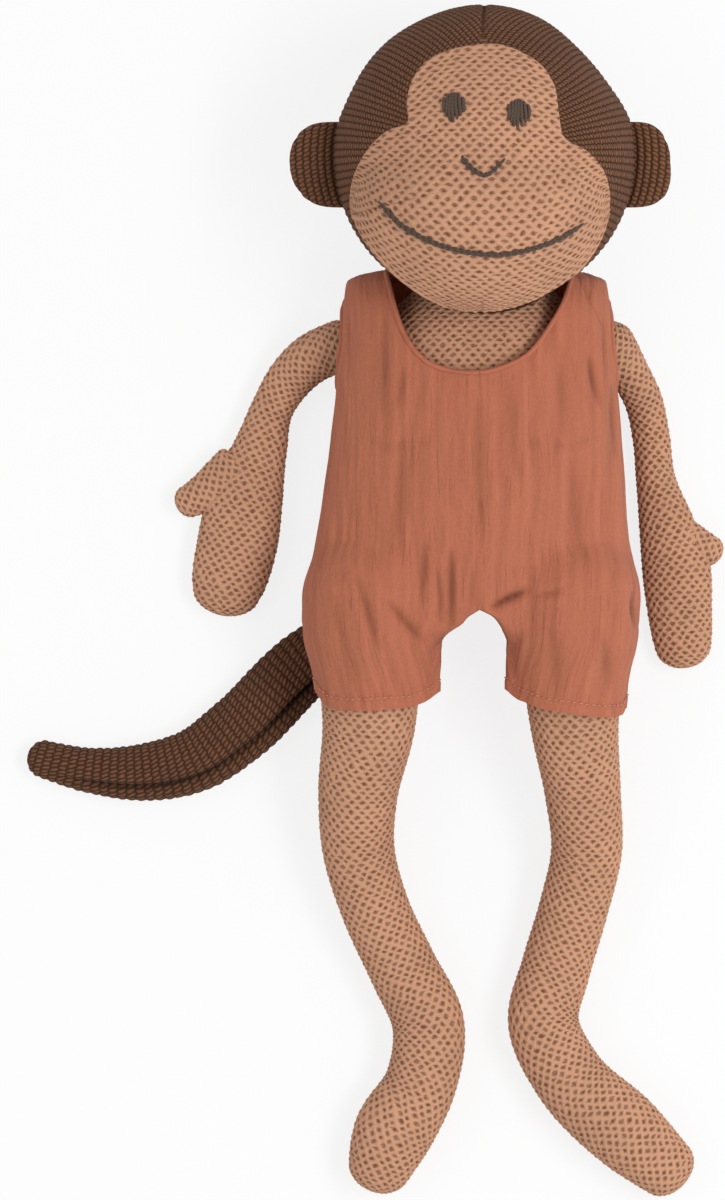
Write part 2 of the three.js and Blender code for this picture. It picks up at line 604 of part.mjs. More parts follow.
function addTail() {
  const end = TAIL_ROOT.clone().addScaledVector(TAIL_SEAM_WAY, TAIL_BALL);
  const hole = ball(end, TAIL_HOLE, SMALL_SIDES);
  const skin = tailForm(0).intersect(room).subtract(tailForm(-KNIT_WALL)).subtract(hole);
  addPiece('tail_skin', skin, 'brownKnit');
  addPiece('tail_stuffing', tailForm(-KNIT_WALL - GAP), 'fibre');
}

addHead();
addEar('right_ear', -1);
addEar('left_ear', 1);
addStitching('right_eye', eyeOutline(RIGHT_EYE));
addStitching('left_eye', eyeOutline(LEFT_EYE));
addStitching('nose_stitch', lineOutline(NOSE_LINE, THREAD));
addStitching('mouth_stitch', lineOutline(MOUTH_LINE, THREAD));
addTorso();
addBodice();
addArm('right', RIGHT_SHOULDER, new THREE.Vector3(1, 0, 0), RIGHT_ARM, RIGHT_THUMB);
addArm('left', LEFT_SHOULDER, new THREE.Vector3(-1, 0, 0), LEFT_ARM, LEFT_THUMB);
addLeg('right', RIGHT_HIP, RIGHT_LEG);
addLeg('left', LEFT_HIP, LEFT_LEG);
addShorts('right', RIGHT_HIP, RIGHT_SHORTS);
addShorts('left', LEFT_HIP, LEFT_SHORTS);
addTail();

export default toy;
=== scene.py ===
"""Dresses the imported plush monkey: knitted skins, embroidery, a muslin romper, floor, light and camera.

Lengths in this file are millimetres in the toy's own frame until a mesh is written in metres.
"""
import math

import bmesh
import bpy
import numpy as np
from bpy.props import FloatProperty, FloatVectorProperty, PointerProperty
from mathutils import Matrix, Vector


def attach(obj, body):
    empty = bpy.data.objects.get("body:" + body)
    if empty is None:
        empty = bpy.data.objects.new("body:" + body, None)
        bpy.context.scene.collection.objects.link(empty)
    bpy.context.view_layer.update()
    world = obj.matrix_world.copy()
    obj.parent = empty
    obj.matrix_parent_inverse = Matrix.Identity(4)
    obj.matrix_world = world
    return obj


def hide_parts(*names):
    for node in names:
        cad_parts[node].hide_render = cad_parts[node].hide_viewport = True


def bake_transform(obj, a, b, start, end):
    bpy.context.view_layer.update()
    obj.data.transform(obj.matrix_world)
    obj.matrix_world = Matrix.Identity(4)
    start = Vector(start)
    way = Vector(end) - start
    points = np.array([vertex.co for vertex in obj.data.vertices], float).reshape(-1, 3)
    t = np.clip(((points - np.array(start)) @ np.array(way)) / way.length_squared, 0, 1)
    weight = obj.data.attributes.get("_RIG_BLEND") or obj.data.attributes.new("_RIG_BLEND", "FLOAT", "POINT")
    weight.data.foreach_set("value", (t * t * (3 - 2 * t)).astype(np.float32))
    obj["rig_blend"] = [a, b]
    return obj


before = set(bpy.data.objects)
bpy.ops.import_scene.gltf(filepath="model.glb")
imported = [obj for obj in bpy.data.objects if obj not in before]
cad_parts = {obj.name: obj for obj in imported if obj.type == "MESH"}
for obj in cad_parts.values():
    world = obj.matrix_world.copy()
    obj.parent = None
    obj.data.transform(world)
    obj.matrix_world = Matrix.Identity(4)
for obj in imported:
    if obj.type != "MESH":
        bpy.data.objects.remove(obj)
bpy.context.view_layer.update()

bl_info = {
    "name": "Plush monkey",
    "version": (1, 0, 0),
    "blender": (4, 5, 0),
    "location": "View3D > Sidebar > Plush",
    "description": "Knitted, stuffed and sewn pieces of a plush monkey in a romper",
    "category": "Object",
}

METRES = 0.001
SIDES = {"right": -1, "left": 1}

# Head
HEAD = np.array([2.0, 102.0, 47.5])
HEAD_RADIUS = 48.0
MUZZLE_OFFSET = np.array([-1.5, -19.5, 19.5])
MUZZLE_RADII = np.array([41.0, 31.0, 37.0])
FACE_BACK = 7.0
FACE_MIDDLE = (0.5, 92.5)
FACE_OUTLINE = [
    (-22.7, 112), (-22.9, 118), (-21.1, 125.6), (-16.7, 131.5), (-10.7, 134.6), (-2.2, 136.6),
    (7.4, 136.7), (14.5, 134), (20.8, 129.3), (24.2, 123.4), (25.5, 115), (27.1, 107.3),
    (34.9, 102.6), (40, 96.4), (41.9, 89), (41.5, 82.5), (39, 74.7), (34, 66.6), (25, 59.5),
    (13, 53.8), (0.3, 51.8), (-12, 53.8), (-23.7, 60.6), (-32, 68.4), (-38, 77), (-40.9, 85),
    (-40.6, 92), (-38.2, 98.8), (-33.9, 105.2), (-28.8, 109.4),
]
NOTCHES = [((27.1, 107.3), (14.5, 101.5)), ((-28.8, 109.4), (-14.5, 103.0))]
CHIN_DART = ((0.6, 52.5), (1.2, 60.0))
HOOD_LEAN = 0.55
# Angle from the front at which the hood's side panel meets its back panel
HOOD_SEAM = math.pi - 0.85
EAR_REACH = {-1: 14.0, 1: 11.0}
EAR_FLARE = {-1: 0.0, 1: 0.3}
EAR_SINK = 1.3
EAR_HALF_HEIGHT = 13.7
EAR_THICK = 8.0
EAR_DROP = -3.0
RIGHT_EYE = (-8.0, 117.4)
LEFT_EYE = (12.5, 115.2)
EYE_HALF_WIDTH = 3.6
EYE_HALF_HEIGHT = 3.9
EYE_STEM = 1.7
EYE_THREADS = 7
NOSE_STROKES = [[(-5.4, 101.1), (-3.0, 97.8), (0.2, 95.3), (2.4, 94.6)],
                [(1.2, 94.4), (3.6, 95.4), (6.0, 97.6), (8.3, 100.2)]]
NOSE_RADII = (0.72, 0.55)
MOUTH_RADIUS = 0.72
# Length of one turn of the two strands of the nose and mouth, and how high they lie
PLY_PITCH = 4.2
PLY_LIFT = 0.45
MOUTH_LINE = [
    (-31.8, 86.7), (-23.7, 78.7), (-13.4, 73.3), (-3.2, 70.6), (7, 69.9), (15.7, 71.4),
    (25.9, 75.2), (33.3, 79.7),
]

# Limbs: centre x, y and height, then width and thickness
SHOULDERS = {"right": (-44.5, 41.3, 13.5), "left": (42.5, 41.0, 13.5)}
SHOULDER_BALL = 8.2
ARMS = {
    "right": [
        (-52.8, 37.6, 11, 15.8, 14), (-60, 31, 7.6, 14.6, 12.8), (-66, 21, 5.9, 13.4, 12.4),
        (-69.4, 9.6, 6, 16.8, 13), (-74.2, -6.5, 6.6, 23.6, 14.2), (-77.4, -23.4, 6.6, 25.4, 14.2),
        (-80.4, -36.5, 6.1, 22.5, 13.2), (-82, -45, 5.4, 15.5, 11.5),
    ],
    "left": [
        (48.6, 32.5, 10.5, 12.8, 12.8), (53, 24, 7, 12, 12), (55.6, 12, 5.5, 11.8, 12),
        (57, -1, 5.7, 12.4, 12.4), (60.4, -15.5, 6.3, 17.5, 13.6), (63.4, -28.5, 6.5, 21.6, 14),
        (64.8, -44, 6.3, 20.4, 13.6), (65.8, -54, 5.8, 18.2, 12.5), (66.8, -61.8, 5.2, 14, 11),
    ],
}
THUMBS = {
    "right": [(-75, 3.6, 6.6, 17, 12.6), (-81.4, -1.6, 6.4, 15.6, 11.8), (-88, -6, 6.1, 12.4, 10.6),
              (-96.6, -10.2, 5.2, 8.6, 9)],
    "left": [(61, -16, 6.4, 14, 12), (66, -19.6, 6.2, 12, 10.8), (71, -22.4, 5.9, 10.6, 10),
             (78, -26.2, 4.9, 8.6, 8.8)],
}
HIPS = {"right": (-34.2, -40.0, 36.5), "left": (29.8, -40.0, 36.5)}
HIP_BALL = 18.6
LEGS = {
    "right": [
        (-34.6, -60, 34, 33, 32), (-35, -80, 29.5, 29.4, 28.5), (-38.4, -102, 22.8, 25.2, 25),
        (-38.2, -120, 17, 22.8, 22.6), (-32.8, -139, 12.8, 21.6, 21.4), (-24, -158, 10.2, 21.8, 21.4),
        (-15.9, -176, 10.2, 22.8, 21.4), (-18.4, -195, 10.2, 22.8, 21.4), (-27.4, -211.2, 10.5, 25, 22),
        (-34.2, -229.4, 8.5, 16, 18),
    ],
    "left": [
        (30.2, -60, 34, 33, 32), (30.9, -80, 29.5, 28, 28), (33.6, -102, 22.8, 24, 24.4),
        (34.8, -120, 17, 22.4, 22.4), (30.6, -139, 12.8, 21.8, 21.4), (25, -158, 10.2, 22, 21.4),
        (21, -175, 10.2, 22.4, 21.4), (29, -192.5, 10.2, 23, 21.4), (47.4, -210.4, 10.5, 24.6, 22),
        (66.2, -227, 8.5, 17, 18),
    ],
}
TAIL_ROOT = (-12.0, -36.0, 5.5)
TAIL_BALL = 5.6
TAIL_RIDGE = 2.7
TAIL = [
    (-30, -46, 5.4, 18, 11.4), (-53.8, -59.5, 5.5, 21.5, 11.6), (-77, -81.8, 6.2, 22, 13.4),
    (-90, -91, 6.2, 20.6, 13.4), (-107, -95.2, 5.9, 18.2, 12.8), (-123, -94.8, 5.3, 14.6, 11.6),
    (-144.3, -89.6, 4.3, 11, 9.6),
]

# Torso under the romper: y, middle x, width, depth. Below the belly it is slimmer than the cloth needs.
TORSO_UNDER = 1.3
HEAD_CLEARANCE = 2.4
SHOULDER_CLEARANCE = 1.6
TORSO_ROWS = [
    (67, 2, 26, 24), (60, 2, 42, 36), (51, 1, 60, 44), (40, 0, 77, 47), (20, -0.5, 80, 48),
    (0, -1, 81, 49), (-12, -1.5, 74, 48), (-21, -2, 46, 44), (-29, -2, 30, 40), (-37, -2, 26, 34),
]

# Romper: y, middle x, outer width and depth of the bodice
MUSLIN_WALL = 1.0
ROMPER_MIDDLE = 0.5
SEAM_LAP = 0.15
HIP_COVER = 20.5
HEM_DEPTH = 3.7
ROMPER_TOP = 67.5
ROMPER_CAP = 6.0
ROMPER_ROWS = [
    (67.5, -0.5, 80.4, 36.4), (58, -0.5, 84.4, 48.4), (44, -0.5, 87, 52.4), (20, -0.4, 91.6, 54.4),
    (0, -0.9, 95.4, 55.4), (-20, -1.7, 100, 55.4), (-36, -1.9, 106, 53.4), (-48, -2.2, 107, 51.5),
    (-70, -2.2, 104, 48),
]
CROTCH_Y = -43.0
INNER_EDGE = {
    "right": [(-43, 0.5), (-45.3, -3.2), (-47.8, -5.4), (-49.6, -8.2), (-53.1, -11), (-58, -11.8),
              (-66, -11.9), (-74, -12.4)],
    "left": [(-43, 0.5), (-44.8, 4.2), (-47.8, 7), (-51.6, 8.6), (-54, 9.1), (-60, 9.1), (-74, 9)],
}
SHORTS = {
    "right": [(-34.4, -46, 36.3, 43.6, 42), (-33.6, -56, 34.8, 44, 42.4), (-32.8, -66, 32.6, 42.2, 39.4),
              (-32.2, -75.5, 31.2, 40.4, 37.4), (-32, -84, 30.4, 40, 36)],
    "left": [(30, -46, 36.3, 43.6, 42), (29.4, -56, 34.8, 42.6, 42.4), (28.9, -66, 32.6, 39.6, 39.4),
             (28.6, -75.5, 31.2, 38, 37.4), (28.4, -84, 30.4, 37.4, 36)],
}
HEMS = {
    "right": [(-57, -63), (-53, -67), (-51.4, -69.8), (-48.4, -73.7), (-44.5, -75), (-37.5, -75.4),
              (-28.4, -74.8), (-20.9, -74), (-17.9, -72.8), (-14.9, -71.2), (-12.2, -69)],
    "left": [(8.9, -68.4), (11, -70.6), (15.4, -72.8), (20, -74.6), (30.5, -76.4), (42, -77.4),
             (44.7, -77.1), (46.6, -75.6), (48, -72), (52, -66)],
}
NECKLINE = [
    (-29.6, 90), (-29.4, 64.7), (-28.4, 60.3), (-26.8, 53.9), (-24, 45.7), (-19.5, 38.8), (-15.7, 35.6),
    (-11.9, 34), (-3.1, 32.6), (3.3, 33), (9.6, 35), (15.9, 38.5), (22.2, 46.4), (27.3, 55.2),
    (29.8, 62.8), (31, 90),
]
BACK_NECK_Y = 62.0
BACK_NECK_MIDDLE = 1.0
BACK_NECK_HALF = 28.0
BACK_NECK_ROUND = 6.0
# Heights between which the back neckline passes into the front one
NECKLINE_JOIN = (14, 30)
# Half sizes of the opening round each shoulder, and the length that stands for its gap of 1
ARMHOLE = (11.5, 16.5, 15.6)
ARMHOLE_GAP = 11
EDGE_ROLL = 0.85
# Where the shorts begin to follow a leg and where they follow it fully, in metres, for the left leg
BEND_START = (0.0, -0.0435, 0.036)
BEND_END = (0.016, -0.066, 0.036)
# Creases of the muslin: seed, distance between them across the cloth, length, and share of the height
CRINKLES = [(11, 4.4, 18, 0.55), (12, 7.5, 30, 1.0), (13, 13.0, 55, 1.2)]
# How much darker painted shade makes the cloth's colour in a fold, for each millimetre of its depth
FOLD_SHADE = 0.5
# Folds: start and end in X and Y, half width, depth, and the height above which they show
FOLDS = [
    ((4.5, -42.5), (15, -37), 1.4, 2.6, 26), ((18, -39), (27, -37), 1.5, 0.9, 26),
    ((-8.8, -25), (-8.6, -48), 1.5, 1.7, 26), ((-12.8, -31), (-12, -47), 1.2, 1.2, 26),
    ((-17.3, -22), (-17.8, -41), 1.6, 1.2, 26), ((-2, -30), (-2.6, -45), 1.3, 0.8, 26),
    ((-38.6, -33), (-31.7, -56), 1.7, 1.3, 26), ((-28, -41), (-17, -53), 1.7, 1.4, 26),
    ((-46, -40), (-40, -66), 2.4, 0.8, 22), ((49.5, -38), (50.5, -48), 1.4, 1.6, 18),
    ((36, 37), (38.5, 23), 1.5, 1.5, 24), ((43, 28), (44, 6), 1.4, 1.1, 12),
    ((31.7, 64), (40.2, 47), 0.8, 0.5, 18), ((40.2, 50), (41, 30), 0.8, 0.5, 18),
    ((-41.7, 33), (-41.3, 51), 0.8, 0.5, 16), ((-24, 33), (-26, 22), 1.6, 0.7, 26),
    ((-30, 50), (-31, 20), 2.6, 0.7, 26), ((27, 40), (27, 10), 2.6, 0.7, 26),
    ((10, 30), (12, 0), 3.0, 0.6, 26), ((-24, 10), (-26, -25), 3.2, 0.7, 26),
    ((30, 5), (32, -25), 3.2, 0.7, 26), ((0, 20), (1, -20), 3.4, 0.5, 26),
    ((24, -50), (25, -70), 3.0, 0.7, 26), ((40, -50), (42, -68), 2.8, 0.7, 24),
]

# Neck strip behind the head, on a ball a little larger than the head
NECK_STRIP_CLEAR = 1.2
NECK_STRIP_REACH = (17.5, 24.5)
NECK_STRIP_BELOW = 14.5
NECK_STRIP_THICK = 1.1

# Floor, lamps and camera, in metres but for the lens and sensor, which are in millimetres
FLOOR_SIZE = 4
LAMPS = {"key": (1.15, -0.15, 1.9), "fill": (-1.2, 0.1, 1.6)}
LAMP_AIM = (0.0, -0.04, 0.0)
LAMP_SIZE = 1.3
CAMERA_PLACE = (-0.03696, -0.040)
FOCUS_HEIGHT = 0.025
VIEW_HEIGHT = 0.384
LENS = 1000.0
SENSOR = 36.0


def clamp(value, low=0.0, high=1.0):
    return np.minimum(np.maximum(value, low), high)


def ease(low, high, value):
    """0 below low, 1 above high, smooth between them"""
    share = clamp((np.asarray(value, float) - low) / (high - low))
    return share * share * (3 - 2 * share)


def unit(vectors):
    size = np.linalg.norm(vectors, axis=-1, keepdims=True)
    return vectors / np.maximum(size, 1e-9)


def smooth_max(a, b, soft):
    share = clamp(0.5 + 0.5 * (a - b) / soft)
    return b + (a - b) * share + soft * share * (1 - share)


def smooth_min(a, b, soft):
    return -smooth_max(-a, -b, soft)


def curve_through(knots, values, where):
    """Values of a smooth curve through rows of numbers, where each row has its own knot"""
    knots = np.asarray(knots, float)
    values = np.asarray(values, float).reshape(len(knots), -1)
    gaps = np.diff(knots)[:, None]
    slopes = np.diff(values, axis=0) / gaps
    lean = np.vstack([slopes[:1], values[1:-1] * 0, slopes[-1:]])
    lean[1:-1] = (slopes[:-1] * gaps[1:] + slopes[1:] * gaps[:-1]) / (gaps[1:] + gaps[:-1])
    where = np.asarray(where, float)
    at = np.clip(np.searchsorted(knots, where, side="right") - 1, 0, len(gaps) - 1)
    gap = gaps[at]
    t = ((where - knots[at])[:, None]) / gap
    return ((2 * t**3 - 3 * t**2 + 1) * values[at] + (t**3 - 2 * t**2 + t) * gap * lean[at]
            + (3 * t**2 - 2 * t**3) * values[at + 1] + (t**3 - t**2) * gap * lean[at + 1])


def lengths_along(points):
    """Length from the first point to each one"""
    steps = np.linalg.norm(np.diff(points, axis=0), axis=-1)
    return np.concatenate([[0.0], np.cumsum(steps)])


def smooth_line(points, count):
    """A smooth line of count points, evenly spaced, through a few given ones"""
    points = np.asarray(points, float)
    fine = curve_through(lengths_along(points), points, np.linspace(0, lengths_along(points)[-1], 800))
    along = lengths_along(fine)
    even = np.linspace(0, along[-1], count)
    return np.stack([np.interp(even, along, fine[:, k]) for k in range(points.shape[1])], axis=1)


def even_columns(points, count):
    """Each row of points again, as count points evenly spaced along that row; also the distances"""
    rows = []
    spans = []
    share = np.linspace(0, 1, count)
    for row in points:
        along = lengths_along(row)
        even = share * along[-1]
        rows.append(np.stack([np.interp(even, along, row[:, k]) for k in range(3)], axis=1))
        spans.append(even)
    return np.array(rows), np.array(spans)


def normals_of(points, wrap=True):
    """Outward normals of a grid of points, whose columns run round and rows run along"""
    if wrap:
        around = np.roll(points[:, :-1], -1, axis=1) - np.roll(points[:, :-1], 1, axis=1)
        around = np.concatenate([around, around[:, :1]], axis=1)
    else:
        around = np.gradient(points, axis=1)
    along = np.gradient(points, axis=0)
    return unit(np.cross(around, along))


# Knit: u counts stitches across, v counts pairs of rows
def purl_relief(u, v):
    """Height of reverse stocking stitch, from -1 in a pit to 1 on a yarn loop"""
    wave = np.cos(2 * np.pi * u) * np.sin(2 * np.pi * v)
    return np.where(wave < 0, -np.abs(wave) ** 2, 0.75 * wave)


def uneven(u, v, seed):
    """Stitch counts with the small drift of hand-guided yarn"""
    return (u + 0.10 * soft_noise(seed, 1.7 * u, 1.3 * v),
            v + 0.07 * soft_noise(seed + 1, 1.1 * u, 2.1 * v))


def ridge_relief(u, v):
    """Height of ridges that stand side by side, uneven along each ridge"""
    ridge = np.abs(np.cos(np.pi * u)) ** 0.7
    return ridge - 0.6 + 0.25 * soft_noise(17, 2.3 * u, 1.9 * v)


def soft_noise(seed, *axes):
    """Smooth noise between about -1 and 1 from a few sines with fixed random phases"""
    phases = np.random.RandomState(seed).uniform(0, 2 * np.pi, (4, len(axes) + 1))
    total = 0
    for k in range(4):
        inner = phases[k, -1]
        for axis, phase in zip(axes, phases[k]):
            inner = inner + axis * (1 + 0.37 * k) + 0.6 * np.sin(0.7 * axis + phase)
        total = total + np.sin(inner) / 4
    return total


# Meshes
def mesh_from(bm, name):
    mesh = bpy.data.meshes.new(name)
    bm.to_mesh(mesh)
    bm.free()
    return mesh


def place_object(name, data):
    obj = bpy.data.objects.new(name, data)
    bpy.context.scene.collection.objects.link(obj)
    return obj


def grid_object(name, points, stitches, painted_shading=None):
    """A sheet of points as one mesh, with its stitch counts as a UV map, welded where points meet.
    Its last argument is painted shading: painted shade below 0, in a fold of the cloth or the tail's groove,
    and a painted highlight above 0, on a crest."""
    rows, columns = points.shape[:2]
    bm = bmesh.new()
    bmesh.ops.create_grid(bm, x_segments=columns - 1, y_segments=rows - 1, size=1)
    mesh = mesh_from(bm, name)
    flat = points.reshape(-1, 3) * METRES
    mesh.vertices.foreach_set("co", flat.astype(np.float32).ravel())
    corner = np.empty(len(mesh.loops), dtype=np.int32)
    mesh.loops.foreach_get("vertex_index", corner)
    layer = mesh.uv_layers.new(name="stitch")
    layer.data.foreach_set("uv", stitches.reshape(-1, 2)[corner].astype(np.float32).ravel())
    if painted_shading is not None:
        mark = mesh.attributes.new("painted_shading", "FLOAT", "POINT")
        mark.data.foreach_set("value", painted_shading.astype(np.float32).ravel())
    bm = bmesh.new()
    bm.from_mesh(mesh)
    bmesh.ops.remove_doubles(bm, verts=bm.verts, dist=2e-6)
    bmesh.ops.recalc_face_normals(bm, faces=bm.faces)
    for face in bm.faces:
        face.smooth = True
    bm.to_mesh(mesh)
    bm.free()
    return place_object(name, mesh)


def join_pieces(name, pieces):
    """Several meshes as one object; their materials stay with their faces"""
    bm = bmesh.new()
    materials = []
    for piece in pieces:
        first = len(bm.faces)
        bm.from_mesh(piece.data)
        bm.faces.ensure_lookup_table()
        places = []
        for material in piece.data.materials:
            if material not in materials:
                materials.append(material)
            places.append(materials.index(material))
        for face in bm.faces[first:]:
            face.material_index = places[face.material_index] if places else 0
    mesh = mesh_from(bm, name)
    for material in materials:
        mesh.materials.append(material)
    for piece in pieces:
        old = piece.data
        bpy.data.objects.remove(piece)
        bpy.data.meshes.remove(old)
    return place_object(name, mesh)


def thread_object(name, line, radii, sides=8):
    """A thread along a line: rings of points round it, closed at both ends"""
    line = np.asarray(line, float)
    ahead = unit(np.gradient(line, axis=0))
    up = np.array([0.0, 0.0, 1.0])
    side = unit(np.cross(ahead, up + 1e-3 * np.array([1.0, 0.3, 0])))
    lift = np.cross(side, ahead)
    turn = np.linspace(-np.pi, np.pi, sides + 1)
    radii = np.broadcast_to(np.asarray(radii, float), (len(line),))
    rings = (line[:, None] + radii[:, None, None] * (np.sin(turn)[None, :, None] * side[:, None]
             + np.cos(turn)[None, :, None] * lift[:, None]))
    first = np.broadcast_to(line[0], (1, sides + 1, 3))
    last = np.broadcast_to(line[-1], (1, sides + 1, 3))
    points = np.concatenate([first, rings, last])
    along = np.pad(lengths_along(line), 1, mode="edge")
    stitches = np.stack([np.broadcast_to(turn / (2 * np.pi), points.shape[:2]),
                         np.broadcast_to(along[:, None], points.shape[:2])], axis=2)
    return grid_object(name, points, stitches)


# Stuffed tubes
def limb_rows(pivot, radius, rows):
    """A limb's rows with the ball at its joint put first"""
    pivot = np.array(pivot)
    back = pivot - radius * unit(np.array(rows[0][:3]) - pivot)
    size = 2 * radius
    return [(*back, size, size), (*pivot, size, size), *rows]


def trunk_rows(rows, under):
    return [(x, y, under + deep / 2, wide, deep) for y, x, wide, deep in rows]


def stuffed_tube(rows, first_cap, last_cap, step, upright=False):
    """Points, distance along and signed distance round from the front, for a round-ended form"""
    rows = np.asarray(rows, float)
    knots = lengths_along(rows[:, :3])
    fine = curve_through(knots, rows, np.linspace(0, knots[-1], 2400))
    along = lengths_along(fine[:, :3])
    length = along[-1]
    from_start = clamp(1 - along / first_cap)
    from_end = clamp(1 - (length - along) / last_cap)
    share = np.sqrt(clamp(1 - from_start**2)) * np.sqrt(clamp(1 - from_end**2))
    mean = share * (fine[:, 3] + fine[:, 4]) / 4
    meridian = lengths_along(np.stack([along, mean], axis=1))
    rings = int(meridian[-1] / step) + 1
    at = np.linspace(0, meridian[-1], rings)
    here = np.stack([np.interp(at, meridian, fine[:, k]) for k in range(5)], axis=1)
    share = np.interp(at, meridian, share)
    tangent = unit(np.gradient(fine[:, :3], axis=0))
    ahead = unit(np.stack([np.interp(at, meridian, tangent[:, k]) for k in range(3)], axis=1))
    if upright:
        ahead[:] = (0.0, -1.0, 0.0)
    side = unit(np.cross(ahead, (0.0, 0.0, 1.0)))
    lift = np.cross(side, ahead)
    turn = np.linspace(-np.pi, np.pi, 241)
    wide = share[:, None, None] * here[:, 3, None, None] / 2
    thick = share[:, None, None] * here[:, 4, None, None] / 2
    ring = (here[:, None, :3] + wide * np.sin(turn)[None, :, None] * side[:, None]
            + thick * np.cos(turn)[None, :, None] * lift[:, None])
    girth = np.pi * (here[:, 3] + here[:, 4]).max() / 2
    points, spans = even_columns(ring, int(girth / step) + 1)
    around = spans - spans[:, -1:] / 2
    return points, at, around, ahead


def tube_normals(points, ahead):
    """Outward normals, with the two poles facing along the line"""
    normals = normals_of(points)
    normals[0] = -ahead[0]
    normals[-1] = ahead[-1]
    middle = points.mean(axis=1, keepdims=True)
    if np.sum((points - middle) * normals) < 0:
        normals[1:-1] *= -1
    return normals


def onto_floor(points):
    points[..., 2] = np.maximum(points[..., 2], 0.0)
    return points


def knitted_tube(rows, caps, step, pitch, depth, upright=False):
    """Points and stitch counts of a stuffed tube in tan knit. pitch is stitch width and height."""
    points, along, around, ahead = stuffed_tube(rows, *caps, step, upright)
    u, v = uneven(around / pitch[0], along[:, None] / pitch[1] + 0 * around, 21)
    normals = tube_normals(points, ahead)
    to_end = np.minimum(along, along[-1] - along)
    height = depth * purl_relief(u, v) * ease(0.5, 5, to_end)[:, None]
    points = onto_floor(points + normals * height[..., None])
    return points, np.stack([u, v], axis=2)


# Head surface
def face_height(x, y):
    """Height of the face over a place in X and Y, muzzle included"""
    dx, dy = x - HEAD[0], y - HEAD[1]
    flat = dx**2 + dy**2
    skull = np.where(flat < HEAD_RADIUS**2, np.sqrt(np.maximum(HEAD_RADIUS**2 - flat, 0)), -60.0)
    ox, oy, oz = MUZZLE_OFFSET
    inside = 1 - ((dx - ox) / MUZZLE_RADII[0]) ** 2 - ((dy - oy) / MUZZLE_RADII[1]) ** 2
    muzzle = np.where(inside > 0, oz + MUZZLE_RADII[2] * np.sqrt(np.maximum(inside, 0)), -60.0)
    return HEAD[2] + smooth_max(skull, muzzle, 5.0)


def on_face(points, lift=0.0):
    """Places in X and Y put on the face, raised by lift along its normal"""
    points = np.asarray(points, float)
    x, y = points[..., 0], points[..., 1]
    step = 0.4
    z = face_height(x, y)
    slope_x = (face_height(x + step, y) - face_height(x - step, y)) / (2 * step)
    slope_y = (face_height(x, y + step) - face_height(x, y - step)) / (2 * step)
    normal = unit(np.stack([-slope_x, -slope_y, np.ones_like(z)], axis=-1))
    raised = np.asarray(lift, float)[..., None] if np.ndim(lift) else lift
    return np.stack([x, y, z], axis=-1) + normal * raised


def outline_reach(turns):
    """Distance from the face's middle to its outline in each direction"""
    ring = np.array(FACE_OUTLINE + FACE_OUTLINE[:6], float)
    knots = lengths_along(ring)
    fine = curve_through(knots, ring, np.linspace(knots[2], knots[len(FACE_OUTLINE) + 2], 1600))
    out = fine - np.array(FACE_MIDDLE)
    angle = np.arctan2(out[:, 1], out[:, 0])
    order = np.argsort(angle)
    return np.interp(turns, angle[order], np.hypot(out[:, 0], out[:, 1])[order], period=2 * np.pi)


def hood_start(x, y):
    """Direction from the head's middle to the hood's edge beside a point of the face's outline"""
    dx, dy = x - HEAD[0], y - HEAD[1]
    flat = np.hypot(dx, dy)
    most = math.sqrt(HEAD_RADIUS**2 - FACE_BACK**2)
    shrink = np.minimum(1, most / flat)
    dx, dy = dx * shrink, dy * shrink
    return unit(np.stack([dx, dy, np.sqrt(HEAD_RADIUS**2 - dx**2 - dy**2)], axis=-1))


def distance_to_line(x, y, line):
    """Distance in X and Y to a straight line between two points, and the share along it"""
    (ax, ay), (bx, by) = line
    wide, high = bx - ax, by - ay
    share = clamp(((x - ax) * wide + (y - ay) * high) / (wide**2 + high**2))
    return np.hypot(x - ax - share * wide, y - ay - share * high), share


def face_stitches(points):
    """Stitch counts of the face: rows bend round the head and close up towards the chin"""
    out = points - HEAD
    down = -np.arctan2(out[..., 1], out[..., 2])
    across = unit(out)[..., 0]
    low = np.maximum(down, 0)
    return across * (13.5 + 4.5 * low), 14 * down + 2.5 * low**2


def make_face(depth):
    turns = np.linspace(-np.pi, np.pi, 421)
    reach = outline_reach(turns)
    share = np.linspace(0, 1, 160) ** 0.9
    rays = share[None, :, None] * reach[:, None, None] * np.stack(
        [np.cos(turns), np.sin(turns)], axis=1)[:, None, :]
    rays = on_face(rays + np.array(FACE_MIDDLE))
    rings, spans = even_columns(rays, 96)
    points = np.swapaxes(rings, 0, 1)
    from_edge = np.swapaxes(spans[:, -1:] - spans, 0, 1)
    u, v = uneven(*face_stitches(points), 31)
    normals = normals_of(points)
    normals[0] = normals[1].mean(axis=0)
    if normals[40, :, 2].mean() < 0:
        normals = -normals
    height = depth * purl_relief(u, v) * ease(0.2, 1.6, from_edge)
    height = height + 0.35 * np.exp(-(((from_edge - 1.2) / 0.9) ** 2))
    x, y = points[..., 0], points[..., 1]
    for notch in NOTCHES:
        gap, along = distance_to_line(x, y, notch)
        height = height - 0.7 * (1 - along) * np.exp(-((gap / 0.9) ** 2)) * ease(0, 2, from_edge)
    gap, along = distance_to_line(x, y, CHIN_DART)
    height = height - 0.6 * (1 - along) * np.exp(-((gap / 0.8) ** 2))
    points = points + normals * height[..., None]
    # The edge rolls over and runs back to the hood, then closes inside the head
    edge = points[-1]
    start = hood_start(edge[:, 0], edge[:, 1])
    seat = HEAD + start * (HEAD_RADIUS - 1.6)
    outward = unit((edge - np.array([*FACE_MIDDLE, 0])) * [1, 1, 0])
    skirt = []
    for part in np.linspace(0.06, 1, 14):
        bulge = 0.35 * math.sin(math.pi * min(1, part * 1.2))
        skirt.append(edge + (seat - edge) * part + outward * bulge)
    inner = np.array([HEAD + start * 40.0, np.broadcast_to(HEAD, start.shape)])
    points = np.concatenate([points, skirt, inner])
    u, v = uneven(*face_stitches(points), 31)
    return grid_object("face", points, np.stack([u, v], axis=2))


